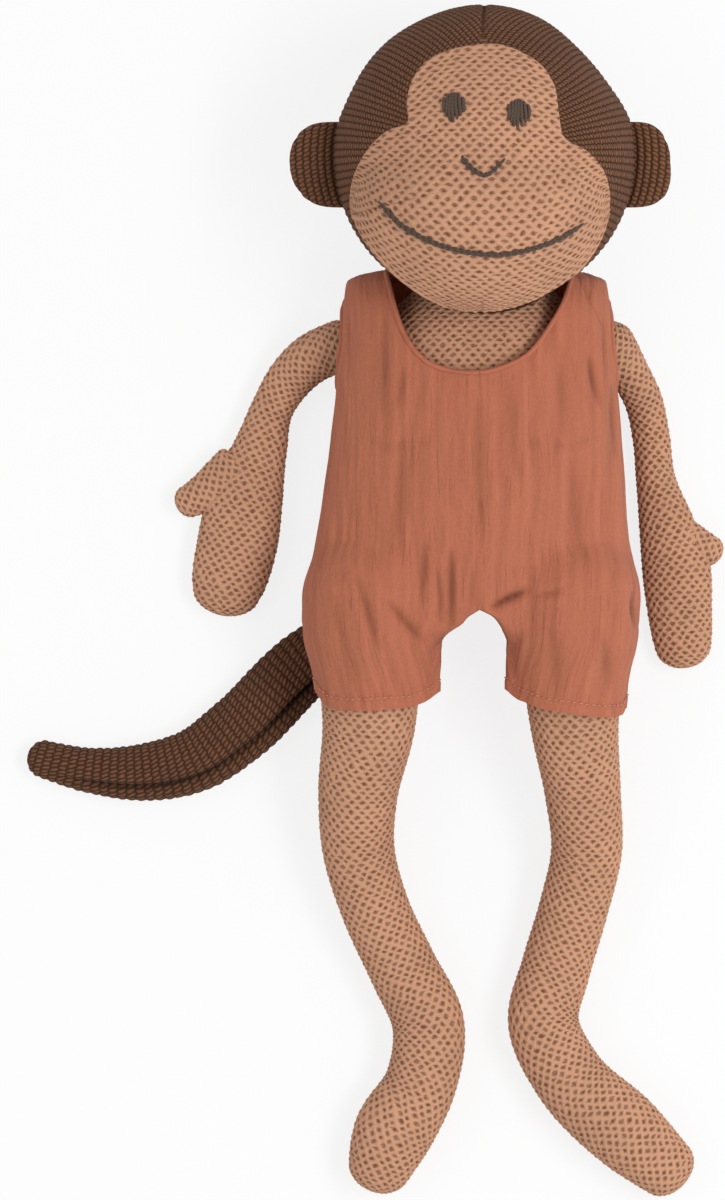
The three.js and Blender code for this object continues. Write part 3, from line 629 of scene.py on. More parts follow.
def narrow_crown(points):
    """Above the ears the hood is a little slimmer than a ball and leans to the toy's right"""
    up, front = points[..., 1] - HEAD[1], points[..., 2]
    behind_face = ease(88, 58, front)
    slim = (0.03 * ease(7, 24, up) + 0.04 * ease(10, 42, up)) * behind_face
    lean = 1.8 * ease(10, 34, up) * ease(48.5, 36, up) * behind_face
    points[..., 0] = HEAD[0] + (points[..., 0] - HEAD[0]) * (1 - slim) - lean
    return points


def make_hood(depth, pitch):
    turns = np.linspace(-np.pi, np.pi, 521)
    spots = np.linspace(-np.pi, np.pi, 721)
    reach = outline_reach(spots)
    rim = np.array(FACE_MIDDLE) + reach[:, None] * np.stack([np.cos(spots), np.sin(spots)], axis=1)
    angle = np.unwrap(np.arctan2(rim[:, 1] - HEAD[1], rim[:, 0] - HEAD[0]))
    rim_x = np.interp(turns, angle, rim[:, 0], period=2 * np.pi)
    rim_y = np.interp(turns, angle, rim[:, 1], period=2 * np.pi)
    start = hood_start(rim_x, rim_y)
    low = np.arccos(clamp(start[:, 2], -1, 1))
    circle = np.unwrap(np.arctan2(start[:, 1], start[:, 0]))
    share = np.linspace(0, 1, 138)[:, None]
    tilt = low[None, :] + share * (HOOD_SEAM - low[None, :])
    spin = circle[None, :] + (turns - circle)[None, :] * ease(0, 0.5, share)
    count = round(2 * np.pi * HEAD_RADIUS / pitch[0])
    from_edge = HEAD_RADIUS * (tilt - low[None, :])
    off_crown = (turns[None, :] - np.pi / 2 + np.pi) % (2 * np.pi) - np.pi
    lean = HOOD_LEAN * np.sign(off_crown) * np.exp(-((off_crown / 0.75) ** 2))
    slide = lean * np.minimum(from_edge, 60) / HEAD_RADIUS
    u = (off_crown - slide) * count / (2 * np.pi)
    v = HEAD_RADIUS * tilt / pitch[1]
    to_seam = HEAD_RADIUS * (HOOD_SEAM - tilt)
    height = depth * ridge_relief(u, v) * ease(0.2, 2.2, from_edge)
    height = height + 0.25 * soft_noise(3, 3.0 * spin, 6.0 * tilt)
    height = height - 0.8 * np.exp(-((to_seam / 1.3) ** 2))
    crown = np.abs(HEAD_RADIUS * np.sin(tilt) * np.sin(spin - np.pi / 2))
    height = height - 0.5 * np.exp(-((crown / 0.9) ** 2)) * (np.sin(spin) > 0) * ease(2, 5, from_edge)
    back_tilt = np.linspace(HOOD_SEAM, math.pi, 40)[1:, None] + 0 * turns[None, :]
    back_spin = 0 * back_tilt + turns[None, :]
    flat_x = HEAD_RADIUS * (math.pi - back_tilt) * np.cos(back_spin)
    flat_y = HEAD_RADIUS * (math.pi - back_tilt) * np.sin(back_spin)
    back_u, back_v = flat_y / pitch[0], flat_x / pitch[1]
    back_height = 0.7 * depth * ridge_relief(back_u, back_v)
    tilt = np.concatenate([tilt, back_tilt])
    spin = np.concatenate([spin, back_spin])
    height = np.concatenate([height, back_height])
    way = np.stack([np.sin(tilt) * np.cos(spin), np.sin(tilt) * np.sin(spin), np.cos(tilt)], axis=2)
    points = narrow_crown(onto_floor(HEAD + way * (HEAD_RADIUS + height)[..., None]))
    inner = np.array([np.broadcast_to(HEAD, start.shape), HEAD + start * 41.0, HEAD + start * 46.6])
    points = np.concatenate([inner, points])
    u = np.concatenate([u[:1], u[:1], u[:1], u, back_u])
    v = np.concatenate([v[:1] - 2, v[:1] - 1.5, v[:1] - 0.4, v, back_v])
    return grid_object("hood", points, np.stack([u, v], axis=2))


def make_ear(name, side, depth, pitch):
    rows, columns = 70, 100
    rise = -np.cos(np.linspace(0, np.pi, rows))[:, None]
    turn = np.linspace(-np.pi, np.pi, columns)[None, :]
    round_off = np.sqrt(clamp(1 - rise**2)) ** 0.5
    across, deep = np.cos(turn), np.sin(turn)
    y = EAR_DROP + EAR_HALF_HEIGHT * rise + 0 * turn
    hood_side = np.sqrt((HEAD_RADIUS + 0.3) ** 2 - y**2)
    reach = EAR_REACH[side] * (1 - EAR_FLARE[side] * np.minimum(rise, 0)) + EAR_SINK
    out = hood_side - EAR_SINK + reach * round_off * (1 + side * across) / 2
    z = EAR_THICK / 2 * round_off * deep * (1 - 0.25 * (1 + side * across) / 2)
    u = (out - hood_side) / pitch[0] + 0.35
    v = y / pitch[1]
    points = np.stack([HEAD[0] + side * out, HEAD[1] + y, HEAD[2] + z], axis=2)
    centre = points.mean(axis=(0, 1))
    normals = normals_of(points)
    normals[0], normals[-1] = (0, -1, 0), (0, 1, 0)
    if np.sum((points - centre) * normals) < 0:
        normals[1:-1] *= -1
    height = depth * ridge_relief(u, v) * ease(0.0, 0.35, 1 - np.abs(rise))
    points = points + normals * height[..., None]
    return grid_object(name, points, np.stack([u, v], axis=2))


# Node groups
class Graph:
    """Short calls that add nodes to a tree and link them"""

    def __init__(self, tree):
        self.tree = tree

    def add(self, kind, inputs=None, **settings):
        node = self.tree.nodes.new(kind)
        for name, value in settings.items():
            setattr(node, name, value)
        for name, value in (inputs or {}).items():
            self.feed(node.inputs[name], value)
        return node

    def feed(self, socket, value):
        if isinstance(value, bpy.types.NodeSocket):
            self.tree.links.new(value, socket)
        elif isinstance(value, bpy.types.Node):
            self.tree.links.new(value.outputs[0], socket)
        else:
            socket.default_value = value

    def math(self, operation, *values, clamped=False):
        node = self.add("ShaderNodeMath", operation=operation, use_clamp=clamped)
        for socket, value in zip(node.inputs, values):
            self.feed(socket, value)
        return node.outputs[0]

    def between(self, value, low, high, to_low=0.0, to_high=1.0):
        node = self.add("ShaderNodeMapRange", interpolation_type="SMOOTHSTEP")
        for name, item in (("Value", value), ("From Min", low), ("From Max", high),
                           ("To Min", to_low), ("To Max", to_high)):
            self.feed(node.inputs[name], item)
        return node.outputs[0]

    def mix(self, share, first, second, blend="MIX"):
        node = self.add("ShaderNodeMix", data_type="RGBA", blend_type=blend)
        self.feed(node.inputs[0], share)
        self.feed(node.inputs[6], first)
        self.feed(node.inputs[7], second)
        return node.outputs[2]

    def tint(self, share, colour, low, high):
        """A colour between two shades of itself"""
        return self.mix(share, shade(colour, low), shade(colour, high))

    def weighted(self, *terms):
        """The sum of values, each times its weight"""
        total = 0.0
        for value, weight in terms:
            total = self.math("ADD", total, self.math("MULTIPLY", value, weight))
        return total

    def noise(self, vector, scale, detail=2.0, rough=0.5, output="Fac"):
        node = self.add("ShaderNodeTexNoise", {"Vector": vector, "Scale": scale, "Detail": detail,
                                               "Roughness": rough})
        return node.outputs[output]

    def stretched(self, vector, scale):
        return self.add("ShaderNodeMapping", {"Vector": vector, "Scale": scale}).outputs[0]

    def stitches(self):
        """The UV map that every knitted or woven mesh carries"""
        return self.add("ShaderNodeUVMap", uv_map="stitch").outputs[0]

    def bump(self, shader, height, distance, strength=1.0):
        """Raises the shader's surface by a height, where a height of 1 is a distance in millimetres"""
        raised = self.add("ShaderNodeBump", {"Strength": strength, "Distance": distance * METRES,
                                             "Height": height})
        self.feed(shader.inputs["Normal"], raised)


def new_group(name, settings, outputs):
    """A node group that takes a Vector and some numbers, and puts out other numbers"""
    tree = bpy.data.node_groups.new(name, "ShaderNodeTree")
    tree.interface.new_socket("Vector", in_out="INPUT", socket_type="NodeSocketVector")
    for label, value in settings.items():
        socket = tree.interface.new_socket(label, in_out="INPUT", socket_type="NodeSocketFloat")
        socket.default_value = value
    for label in outputs:
        tree.interface.new_socket(label, in_out="OUTPUT", socket_type="NodeSocketFloat")
    graph = Graph(tree)
    return tree, graph, graph.add("NodeGroupInput").outputs, graph.add("NodeGroupOutput").inputs


def purl_group():
    """Yarns of reverse stocking stitch: Height, and Pit where the yarns leave a hole, which the knit
    material paints in shade
    """
    tree, g, source, out = new_group("Purl stitches", {"Wave": 0.13, "Yarn": 0.27}, ("Height", "Pit"))
    vector = source["Vector"]
    loose = g.noise(vector, 1.3, 1.0, output="Color")
    pull = g.add("ShaderNodeVectorMath", operation="MULTIPLY_ADD")
    for socket, value in zip(pull.inputs, (loose, (0.55, 0.4, 0.0), vector)):
        g.feed(socket, value)
    split = g.add("ShaderNodeSeparateXYZ", {"Vector": pull})
    u = g.math("SUBTRACT", split.outputs[0], 0.275)
    v = g.math("SUBTRACT", split.outputs[1], 0.2)
    crest = g.math("COSINE", g.math("MULTIPLY", u, 2 * math.pi))
    wave = g.math("MULTIPLY", crest, source["Wave"])
    first = g.math("PINGPONG", g.math("SUBTRACT", v, wave), 0.5)
    second = g.math("PINGPONG", g.math("ADD", g.math("SUBTRACT", v, 0.5), wave), 0.5)
    gap = g.math("MINIMUM", first, second)
    ratio = g.math("DIVIDE", gap, source["Yarn"])
    round_yarn = g.math("SQRT", g.math("SUBTRACT", 1.0, g.math("POWER", ratio, 2.0), clamped=True))
    lattice = g.math("MULTIPLY", crest, g.math("SINE", g.math("MULTIPLY", v, 2 * math.pi)))
    # The pits' depth varies at random, in the relief and in their painted shade
    deep = g.between(g.noise(vector, 0.9, 1.0), 0.3, 0.65, 0.35, 1.0)
    pit = g.math("MULTIPLY", g.between(lattice, -0.5, -0.92), deep)
    g.feed(out["Height"], g.math("MULTIPLY", round_yarn, g.math("SUBTRACT", 1.0, pit)))
    g.feed(out["Pit"], pit)
    return tree


def ridge_group():
    """Ridges side by side, each of slanting yarn loops: Height, and Pit in the valleys between them, which
    the knit material paints in shade
    """
    tree, g, source, out = new_group(
        "Ridge stitches", {"Slant": 0.6, "Loop Depth": 0.35, "Valley Depth": 1.0}, ("Height", "Pit"))
    split = g.add("ShaderNodeSeparateXYZ", {"Vector": source["Vector"]})
    u, v = split.outputs[0], split.outputs[1]
    wander = g.noise(source["Vector"], 0.8)
    drift = g.math("MULTIPLY", g.math("SUBTRACT", wander, 0.5), 0.9)
    off = g.math("SUBTRACT", u, g.math("ROUND", u))
    slope = g.math("MULTIPLY", off, source["Slant"])
    phase = g.math("MULTIPLY", g.math("ADD", g.math("ADD", v, slope), drift), 2 * math.pi)
    loop = g.between(g.math("SINE", phase), -1.0, 1.0)
    bend = g.math("MULTIPLY", g.math("SINE", g.math("MULTIPLY", v, math.pi)), 0.06)
    ridge = g.math("ABSOLUTE", g.math("COSINE", g.math("MULTIPLY", g.math("ADD", u, bend), math.pi)))
    dip = g.math("MULTIPLY", g.math("SUBTRACT", 1.0, loop), source["Loop Depth"])
    low = g.math("SUBTRACT", 1.0, dip)
    valley = g.math("MULTIPLY", g.between(ridge, 0.66, 0.1), source["Valley Depth"])
    gap = g.math("MULTIPLY", g.between(loop, 0.5, 0.0), g.math("ADD", source["Loop Depth"], 0.1))
    g.feed(out["Height"], g.math("MULTIPLY", g.math("POWER", ridge, 0.6), low))
    bare = g.math("SUBTRACT", 1.0, g.math("MULTIPLY", loop, 0.45))
    g.feed(out["Pit"], g.math("MAXIMUM", g.math("MULTIPLY", valley, bare), gap))
    return tree


def fuzz_group():
    """Loose cotton fibres: Tone varies the colour, Fibre is a fine height"""
    tree, g, source, out = new_group(
        "Cotton fuzz", {"Patch Size": 60.0, "Fibre Size": 1800.0}, ("Tone", "Fibre"))
    patch = g.noise(source["Vector"], source["Patch Size"], 3.0, 0.6)
    fibre = g.noise(source["Vector"], source["Fibre Size"], 3.0, 0.7)
    g.feed(out["Tone"], g.between(patch, 0.3, 0.7))
    g.feed(out["Fibre"], fibre)
    return tree


def shade(colour, factor):
    return (*[min(1.0, channel * factor) for channel in colour[:3]], 1.0)


def new_material(name, roughness, sheen):
    material = bpy.data.materials.new(name)
    material.use_nodes = True
    graph = Graph(material.node_tree)
    shader = material.node_tree.nodes["Principled BSDF"]
    shader.inputs["Roughness"].default_value = roughness
    shader.inputs["Specular IOR Level"].default_value = 0.12
    shader.inputs["Sheen Weight"].default_value = sheen
    shader.inputs["Sheen Roughness"].default_value = 0.5
    return material, graph, shader


def new_fabric(name, roughness, sheen, fuzz, sizes=None):
    """A new material with its cotton fibres: the graph, the shader and the fuzz group's node"""
    _, g, shader = new_material(name, roughness, sheen)
    vector = g.add("ShaderNodeTexCoord").outputs["Object"]
    cotton = g.add("ShaderNodeGroup", {"Vector": vector, **(sizes or {})}, node_tree=fuzz)
    return g, shader, cotton


def knit_material(name, stitches, fuzz, colour, pit_shade_colour, pit_shade_share, contrast, loops=None, folds=False):
    """Cotton knit: yarn colour on the stitches, with fibres; painted shade in the pits and valleys, painted
    shade on the low parts of the yarn and a painted highlight on its tops.
    With folds, the mesh's painted shading attribute darkens the yarn: painted shade where it lies deep."""
    g, shader, cotton = new_fabric(name, 0.92, 0.03, fuzz)
    knit = g.add("ShaderNodeGroup", {"Vector": g.stitches(), **(loops or {})}, node_tree=stitches)
    # Painted shade on the low parts of the yarn and a painted highlight on its tops, by the stitches' height
    low = g.tint(cotton.outputs["Tone"], colour, 0.95 - contrast, 1.07 - contrast)
    high = g.tint(cotton.outputs["Tone"], colour, 0.87 + contrast, 1.03 + contrast)
    lit = g.mix(g.between(knit.outputs["Height"], 0.1, 0.9), low, high)
    speck = g.tint(g.between(cotton.outputs["Fibre"], 0.35, 0.75), colour, 0.9, 1.12)
    yarn = g.mix(0.22, lit, speck)
    # Painted shade in the pits and the valleys between ridges: the relief there is real, the dark colour is
    # painted
    deep = g.math("MULTIPLY", knit.outputs["Pit"], pit_shade_share)
    surface = g.mix(deep, yarn, (*pit_shade_colour, 1.0))
    # Painted shade from the mesh's attribute, in the tail's groove and on the lobe near the root
    if folds:
        painted_shading = g.add("ShaderNodeAttribute", attribute_name="painted_shading").outputs["Fac"]
        surface = g.mix(1.0, surface, g.between(painted_shading, -1.0, 0.0, 0.3, 1.0), "MULTIPLY")
    g.feed(shader.inputs["Base Color"], surface)
    g.bump(shader, g.weighted((knit.outputs["Height"], 1.0), (cotton.outputs["Fibre"], 0.35)), 0.55)


def cloth_material(fuzz, colour):
    """Crinkled double muslin: plain weave, fine creases along the cloth and soft colour patches. The creases
    and folds get painted shade, and the crests a painted highlight.
    """
    g, shader, cotton = new_fabric("Muslin", 0.9, 0.06, fuzz, {"Patch Size": 35.0, "Fibre Size": 1400.0})
    place = g.stitches()
    split = g.add("ShaderNodeSeparateXYZ", {"Vector": place})
    turns = 2 * math.pi / 0.55
    warp = g.math("SINE", g.math("MULTIPLY", split.outputs[0], turns))
    weft = g.math("SINE", g.math("MULTIPLY", split.outputs[1], turns))
    weave = g.math("MULTIPLY", warp, weft)
    crease = g.noise(g.stretched(place, (0.30, 0.04, 1.0)), 1.0, 1.0, 0.5)
    ripple = g.noise(g.stretched(place, (1.1, 0.35, 1.0)), 1.0, 4.0, 0.7)
    broken = g.between(g.noise(g.stretched(place, (0.16, 0.09, 1.0)), 1.0, 2.0, 0.5), 0.42, 0.62)
    straight = g.noise(g.stretched(place, (0.36, 0.024, 1.0)), 1.0, 0.0, 0.5)
    thin = g.between(g.math("ABSOLUTE", g.math("SUBTRACT", straight, 0.5)), 0.045, 0.0)
    line = g.math("MULTIPLY", thin, broken)
    low = g.tint(cotton.outputs["Tone"], colour, 0.93, 1.05)
    # Painted shade in the hollows of the crease noise and a painted highlight on its crests, where the bump
    # below lowers and raises them
    dark = g.tint(g.between(crease, 0.32, 0.68), colour, 0.86, 1.1)
    patchy = g.mix(0.55, low, dark)
    fine = g.tint(g.between(weave, -1.0, 1.0), colour, 0.93, 1.07)
    cloth = g.mix(0.3, patchy, fine)
    grainy = g.tint(g.between(cotton.outputs["Fibre"], 0.3, 0.7), colour, 0.84, 1.16)
    cloth = g.mix(0.4, cloth, grainy)
    # Painted shade in the thin crease lines, which the bump also draws in
    crease_shaded = g.mix(g.math("MULTIPLY", line, 0.24), cloth, shade(colour, 0.5))
    # Painted shade in the folds and crinkle hollows and a painted highlight on crinkle crests, read from the
    # mesh's painted shading attribute
    fold = g.add("ShaderNodeAttribute", attribute_name="painted_shading").outputs["Fac"]
    light = g.between(fold, -1.2, 1.2, 0.5, 1.5)
    g.feed(shader.inputs["Base Color"], g.mix(1.0, crease_shaded, light, "MULTIPLY"))
    height = g.weighted((crease, 1.6), (ripple, 0.9), (line, -0.25), (weave, 0.09),
                        (cotton.outputs["Fibre"], 0.15))
    g.bump(shader, height, 0.5)


def thread_material(name, fuzz, colour, plies):
    """Twisted thread: slanting plies round each strand, with painted shade between the plies and a painted
    highlight on them
    """
    g, shader, cotton = new_fabric(name, 0.7, 0.1, fuzz)
    split = g.add("ShaderNodeSeparateXYZ", {"Vector": g.stitches()})
    slant = g.weighted((split.outputs[0], plies), (split.outputs[1], 0.9))
    ply = g.math("ABSOLUTE", g.math("SINE", g.math("MULTIPLY", slant, math.pi)))
    # Painted shade between the plies and a painted highlight on their crests, following the ply bump
    ply_shaded = g.tint(g.between(ply, 0.1, 0.9), colour, 0.6, 1.25)
    soft = g.tint(cotton.outputs["Fibre"], colour, 0.85, 1.2)
    g.feed(shader.inputs["Base Color"], g.mix(0.35, ply_shaded, soft))
    g.bump(shader, ply, 0.25, 0.8)


def seam_material(fuzz, colour):
    """Sewing thread of the hidden seam rings, whose solids have no UV map"""
    g, shader, cotton = new_fabric("Sewing thread", 0.75, 0.1, fuzz, {"Patch Size": 300.0})
    g.feed(shader.inputs["Base Color"], g.tint(cotton.outputs["Tone"], colour, 0.8, 1.15))
    g.bump(shader, cotton.outputs["Fibre"], 0.2, 0.5)


def finishes():
    """The toy's materials by name, made once"""
    if "Tan knit" not in bpy.data.materials:
        settings = bpy.context.scene.plush_finishes
        fuzz = fuzz_group()
        purl, ridge = purl_group(), ridge_group()
        # Colours of the painted shade in the tan knit's pits and the brown knit's valleys
        tan_pit_shade, brown_pit_shade = (0.2, 0.072, 0.03), (0.024, 0.011, 0.006)
        knit_material("Tan knit", purl, fuzz, settings.tan, tan_pit_shade, 0.95, 0.25)
        knit_material("Brown knit", ridge, fuzz, settings.brown, brown_pit_shade, 0.85, 0.5,
                      {"Loop Depth": 0.48, "Valley Depth": 0.85})
        # The tail's yarn is the brown painted darker, painted shade for the body's shadow over it, and reads
        # the mesh's painted shade in its groove
        knit_material("Shaded tail knit", ridge, fuzz, shade(settings.brown, 0.88), brown_pit_shade, 0.85, 0.5,
                      {"Loop Depth": 0.6, "Valley Depth": 0.5}, folds=True)
        cloth_material(fuzz, settings.muslin)
        thread_material("Embroidery thread", fuzz, settings.thread, 3.0)
        thread_material("Topstitch thread", fuzz, (0.6, 0.25, 0.155), 2.0)
        seam_material(fuzz, settings.seam)
    return bpy.data.materials


def dress(obj, material):
    obj.data.materials.clear()
    obj.data.materials.append(finishes()[material])


# Romper
def smooth_values(pairs, where):
    """A smooth curve through (knot, value) pairs, flat beyond its ends"""
    pairs = sorted(pairs)
    knots = np.array([pair[0] for pair in pairs], float)
    values = np.array([pair[1:] for pair in pairs], float)
    where = np.clip(np.asarray(where, float), knots[0], knots[-1])
    result = curve_through(knots, values, where.ravel())
    return result.reshape(*where.shape, -1)


def ray_to_oval(origin, way, middle, half):
    """Distance along each ray to an oval's far side, or 0 where it misses"""
    off_x, off_z = origin[0] - middle[0], origin[1] - middle[1]
    a = (way[0] / half[0]) ** 2 + (way[1] / half[1]) ** 2
    b = off_x * way[0] / half[0] ** 2 + off_z * way[1] / half[1] ** 2
    c = (off_x / half[0]) ** 2 + (off_z / half[1]) ** 2 - 1
    under = b**2 - a * c
    return np.where(under > 0, (np.sqrt(np.maximum(under, 0)) - b) / a, 0.0)


def romper_sections(side, y, share, turns):
    """Points of one half's closed section at each row, by direction from a middle line"""
    sign = SIDES[side]
    row = smooth_values(ROMPER_ROWS, y)
    bodice_x, wide, deep = row[:, 0], row[:, 1] / 2 * share, row[:, 2] / 2 * share
    bodice_z = row[:, 2] / 2
    leg = smooth_values([(down, middle, *rest) for middle, down, *rest in SHORTS[side]], y)
    into_leg = ease(-21, -46, y)
    centre_x = (bodice_x + sign * 0.5 * wide) * (1 - into_leg) + leg[:, 0] * into_leg
    centre_z = bodice_z * (1 - into_leg) + leg[:, 1] * into_leg
    way = (sign * np.sin(turns)[None, :], np.cos(turns)[None, :])
    origin = (centre_x[:, None], centre_z[:, None])
    fade = 1 - 0.45 * ease(-46, -60, y)
    trunk = ray_to_oval(origin, way, (bodice_x[:, None], bodice_z[:, None]), (wide[:, None], deep[:, None]))
    trunk = trunk * fade[:, None]
    above = np.maximum(0, y - HIPS[side][1])
    cover = np.sqrt(np.maximum(1e-4, 1 - (above / HIP_COVER) ** 2))
    half = ((leg[:, 2] / 2 * cover)[:, None], (leg[:, 3] / 2 * cover)[:, None])
    thigh = ray_to_oval(origin, way, (leg[:, 0, None], leg[:, 1, None]), half)
    near_hip = (above < HIP_COVER)[:, None] & (thigh > 0)
    body = np.where(near_hip, smooth_max(trunk, thigh, 5.0), trunk)
    inner = smooth_values(INNER_EDGE[side], y)[:, 0]
    inner = np.where(y > CROTCH_Y, ROMPER_MIDDLE - sign * SEAM_LAP, inner)
    inward = sign * way[0] < -1e-3
    toward = np.where(inward, (inner - centre_x)[:, None] / np.where(inward, way[0], 1.0), 999.0)
    soft = 0.02 + 6 * ease(CROTCH_Y, CROTCH_Y - 10, y)[:, None]
    reach = smooth_min(body, toward, soft)
    return origin, way, reach, body, toward


def romper_half(side, crinkle):
    """The outer and the inner-leg sheet of one half, and the line for the hem's stitches"""
    sign = SIDES[side]
    # Rows: even steps over the shoulder's round end, then down to the hem
    fine_y = np.linspace(ROMPER_TOP, -80, 3000)
    fine_share = np.sqrt(clamp(1 - clamp(1 - (ROMPER_TOP - fine_y) / ROMPER_CAP) ** 2))
    walk = lengths_along(np.stack([fine_y, 30 * fine_share], axis=1))
    crotch_at = np.interp(-CROTCH_Y, -fine_y, walk)
    upper = np.linspace(0.3, crotch_at, 130)
    lower = np.linspace(crotch_at, walk[-1], 44)[1:]
    at = np.concatenate([upper, lower])
    last = len(upper) - 1
    y = np.interp(at, walk, fine_y)
    y[last] = CROTCH_Y
    share = np.interp(at, walk, fine_share)
    turns = np.linspace(-np.pi / 2, 1.5 * np.pi, 1441)
    origin, way, reach, body, toward = romper_sections(side, y, share, turns)
    ring = np.stack([origin[0] + way[0] * reach, 0 * reach + y[:, None],
                     origin[1] + way[1] * reach], axis=2)
    # Where the front and back meet the middle plane, eased into the inner leg below the crotch
    hits = body < toward
    front_at = turns[np.maximum(np.argmax(hits, axis=1) - 1, 0)]
    back_at = turns[np.minimum(len(turns) - np.argmax(hits[:, ::-1], axis=1), len(turns) - 1)]
    into = ease(CROTCH_Y, CROTCH_Y - 16, y)
    front_at = np.where(y < CROTCH_Y, front_at[last] * (1 - into) + math.radians(-62) * into, front_at)
    back_at = np.where(y < CROTCH_Y, back_at[last] * (1 - into) + math.radians(242) * into, back_at)
    outer, inner, to_side = [], [], []
    for k in range(len(y)):
        arc = np.linspace(front_at[k], back_at[k], 500)
        outer.append(np.stack([np.interp(arc, turns, ring[k, :, j]) for j in range(3)], axis=1))
        to_side.append(np.interp(np.pi / 2, arc, lengths_along(outer[-1])))
        arc = np.linspace(back_at[k], front_at[k] + 2 * np.pi, 200)
        inner.append(np.stack([np.interp(arc, turns, ring[k, :, j], period=2 * np.pi)
                               for j in range(3)], axis=1))
    outer, span = even_columns(np.array(outer), 240)
    inner, inner_span = even_columns(np.array(inner)[last:], 70)
    inner_span = inner_span + span[last:, -1:]
    # Below the crotch the creases keep their place at the outer side
    shift = np.where(y < CROTCH_Y, to_side[last] - np.array(to_side), 0)[:, None]
    sheets, hems = [], []
    for points, around, first in ((outer, span, 0), (inner, inner_span, last)):
        hem = smooth_values(HEMS[side], points[-1, :, 0])[:, 0]
        rows_y = y[first:, None]
        below = clamp((-50 - rows_y) / 30)
        points[..., 1] = np.where(rows_y < -50, -50 + below * (hem[None, :] + 50), rows_y)
        along = np.interp(-points[..., 1], -fine_y, walk)
        from_hem = along[-1:] - along
        normals = normals_of(points, wrap=False)
        middle = points.mean(axis=1, keepdims=True)
        if np.sum((points - middle) * normals) < 0:
            normals = -normals
        place = around + shift[first:]
        # The cloth's relief, and the painted shading of its colour in folds and on crinkles
        wrinkle, painted_shading = cloth_wrinkles(points, sign * place, along, crinkle)
        wrinkle = wrinkle + hem_relief(from_hem, place)
        behind = ease(0, 2.5, np.abs(points[..., 0] - ROMPER_MIDDLE)) + ease(12, 22, points[..., 2])
        near_seam = np.where(points[..., 1] > CROTCH_Y, clamp(behind), 1)
        wrinkle, painted_shading = wrinkle * near_seam, painted_shading * near_seam
        to_join = np.minimum(around - around[:, :1], around[:, -1:] - around)
        at_leg = ease(CROTCH_Y + 0.5, CROTCH_Y - 3, rows_y)
        wrinkle = wrinkle * (1 - at_leg * (1 - ease(0, 3, to_join)))
        points = onto_floor(points + normals * wrinkle[..., None])
        sheets.append((points, np.stack([place, along], axis=2), painted_shading))
        columns = np.arange(points.shape[1])
        rows = [np.interp(-HEM_DEPTH, -from_hem[:, c], np.arange(len(from_hem))) for c in columns]
        low = np.floor(rows).astype(int)
        part = (np.array(rows) - low)[:, None]
        hems.append(points[low, columns] * (1 - part) + points[low + 1, columns] * part
                    + 0.25 * normals[low, columns])
    return sheets, np.concatenate([hems[0], hems[1][1:]])


def hem_relief(from_hem, around):
    """The turned-up hem: a thicker band, drawn in where its stitches run"""
    band = 0.3 * (1 - ease(HEM_DEPTH, HEM_DEPTH + 0.8, from_hem))
    line = np.exp(-(((from_hem - HEM_DEPTH) / 0.55) ** 2))
    pucker = np.exp(-(((from_hem - HEM_DEPTH) / 2.2) ** 2)) * np.sin(2 * np.pi * around / 4.6)
    return band - 0.35 * line + 0.14 * pucker


def cloth_wrinkles(points, around, along, crinkle):
    """Vertical muslin creases and the soft folds that the legs pull into the front: their relief, and
    painted shading that darkens the folds and the crinkles' hollows and lightens the crinkles' crests
    """
    x, y, z = points[..., 0], points[..., 1], points[..., 2]
    waves = 0
    for seed, pitch, length, share in CRINKLES:
        across, down = 2 * np.pi * around / pitch, 2 * np.pi * along / length
        sway = 1.2 * soft_noise(seed + 40, 0.09 * along, 0.05 * around)
        broken = 0.7 + 0.6 * soft_noise(seed + 60, down, 0.3 * across)
        waves = waves + share * broken * soft_noise(seed, across + sway)
    height = crinkle * waves
    # Painted shading: lighter on the crinkles' crests, darker in their hollows
    painted_shading = 0.12 * waves
    for start, end, width, depth, low in FOLDS:
        gap, share = distance_to_line(x, y, (start, end))
        taper = np.sin(np.pi * clamp(0.12 + 0.76 * share))
        dent = ease(low, low + 8, z) * depth * taper
        height = height - dent * np.exp(-((gap / width) ** 2))
        # Painted shade in the fold, darkest along its middle
        painted_shading = painted_shading - FOLD_SHADE * dent * np.exp(-((gap / (0.6 * width)) ** 2))
    return height, painted_shading


def neckline_gap(points):
    """Signed distance to the neck opening: negative inside it"""
    line = smooth_line(NECKLINE, 240)
    x, y, z = points[:, 0], points[:, 1], points[:, 2]
    gap = np.full(len(points), 99.0)
    for ends in zip(line[:-1], line[1:]):
        gap = np.minimum(gap, distance_to_line(x, y, ends)[0])
    right, left = line[:120], line[120:]
    lowest = line[np.argmin(line[:, 1])]
    on_right = x < lowest[0]
    edge = np.where(on_right, np.interp(y, right[::-1, 1], right[::-1, 0]),
                    np.interp(y, left[:, 1], left[:, 0]))
    inside = (y > lowest[1]) & np.where(on_right, x > edge, x < edge)
    front = np.where(inside, -gap, gap)
    off_x = np.abs(x - BACK_NECK_MIDDLE) - BACK_NECK_HALF + BACK_NECK_ROUND
    off_y = BACK_NECK_Y + BACK_NECK_ROUND - y
    outside = np.hypot(np.maximum(off_x, 0), np.maximum(off_y, 0))
    back = outside + np.minimum(np.maximum(off_x, off_y), 0) - BACK_NECK_ROUND
    share = ease(*NECKLINE_JOIN, z)
    return back * (1 - share) + front * share


def armhole_gap(points, side):
    """Rough distance to the opening round a shoulder: negative inside it"""
    out = (points - np.array(SHOULDERS[side])) / np.array(ARMHOLE)
    return (np.linalg.norm(out, axis=1) - 1) * ARMHOLE_GAP


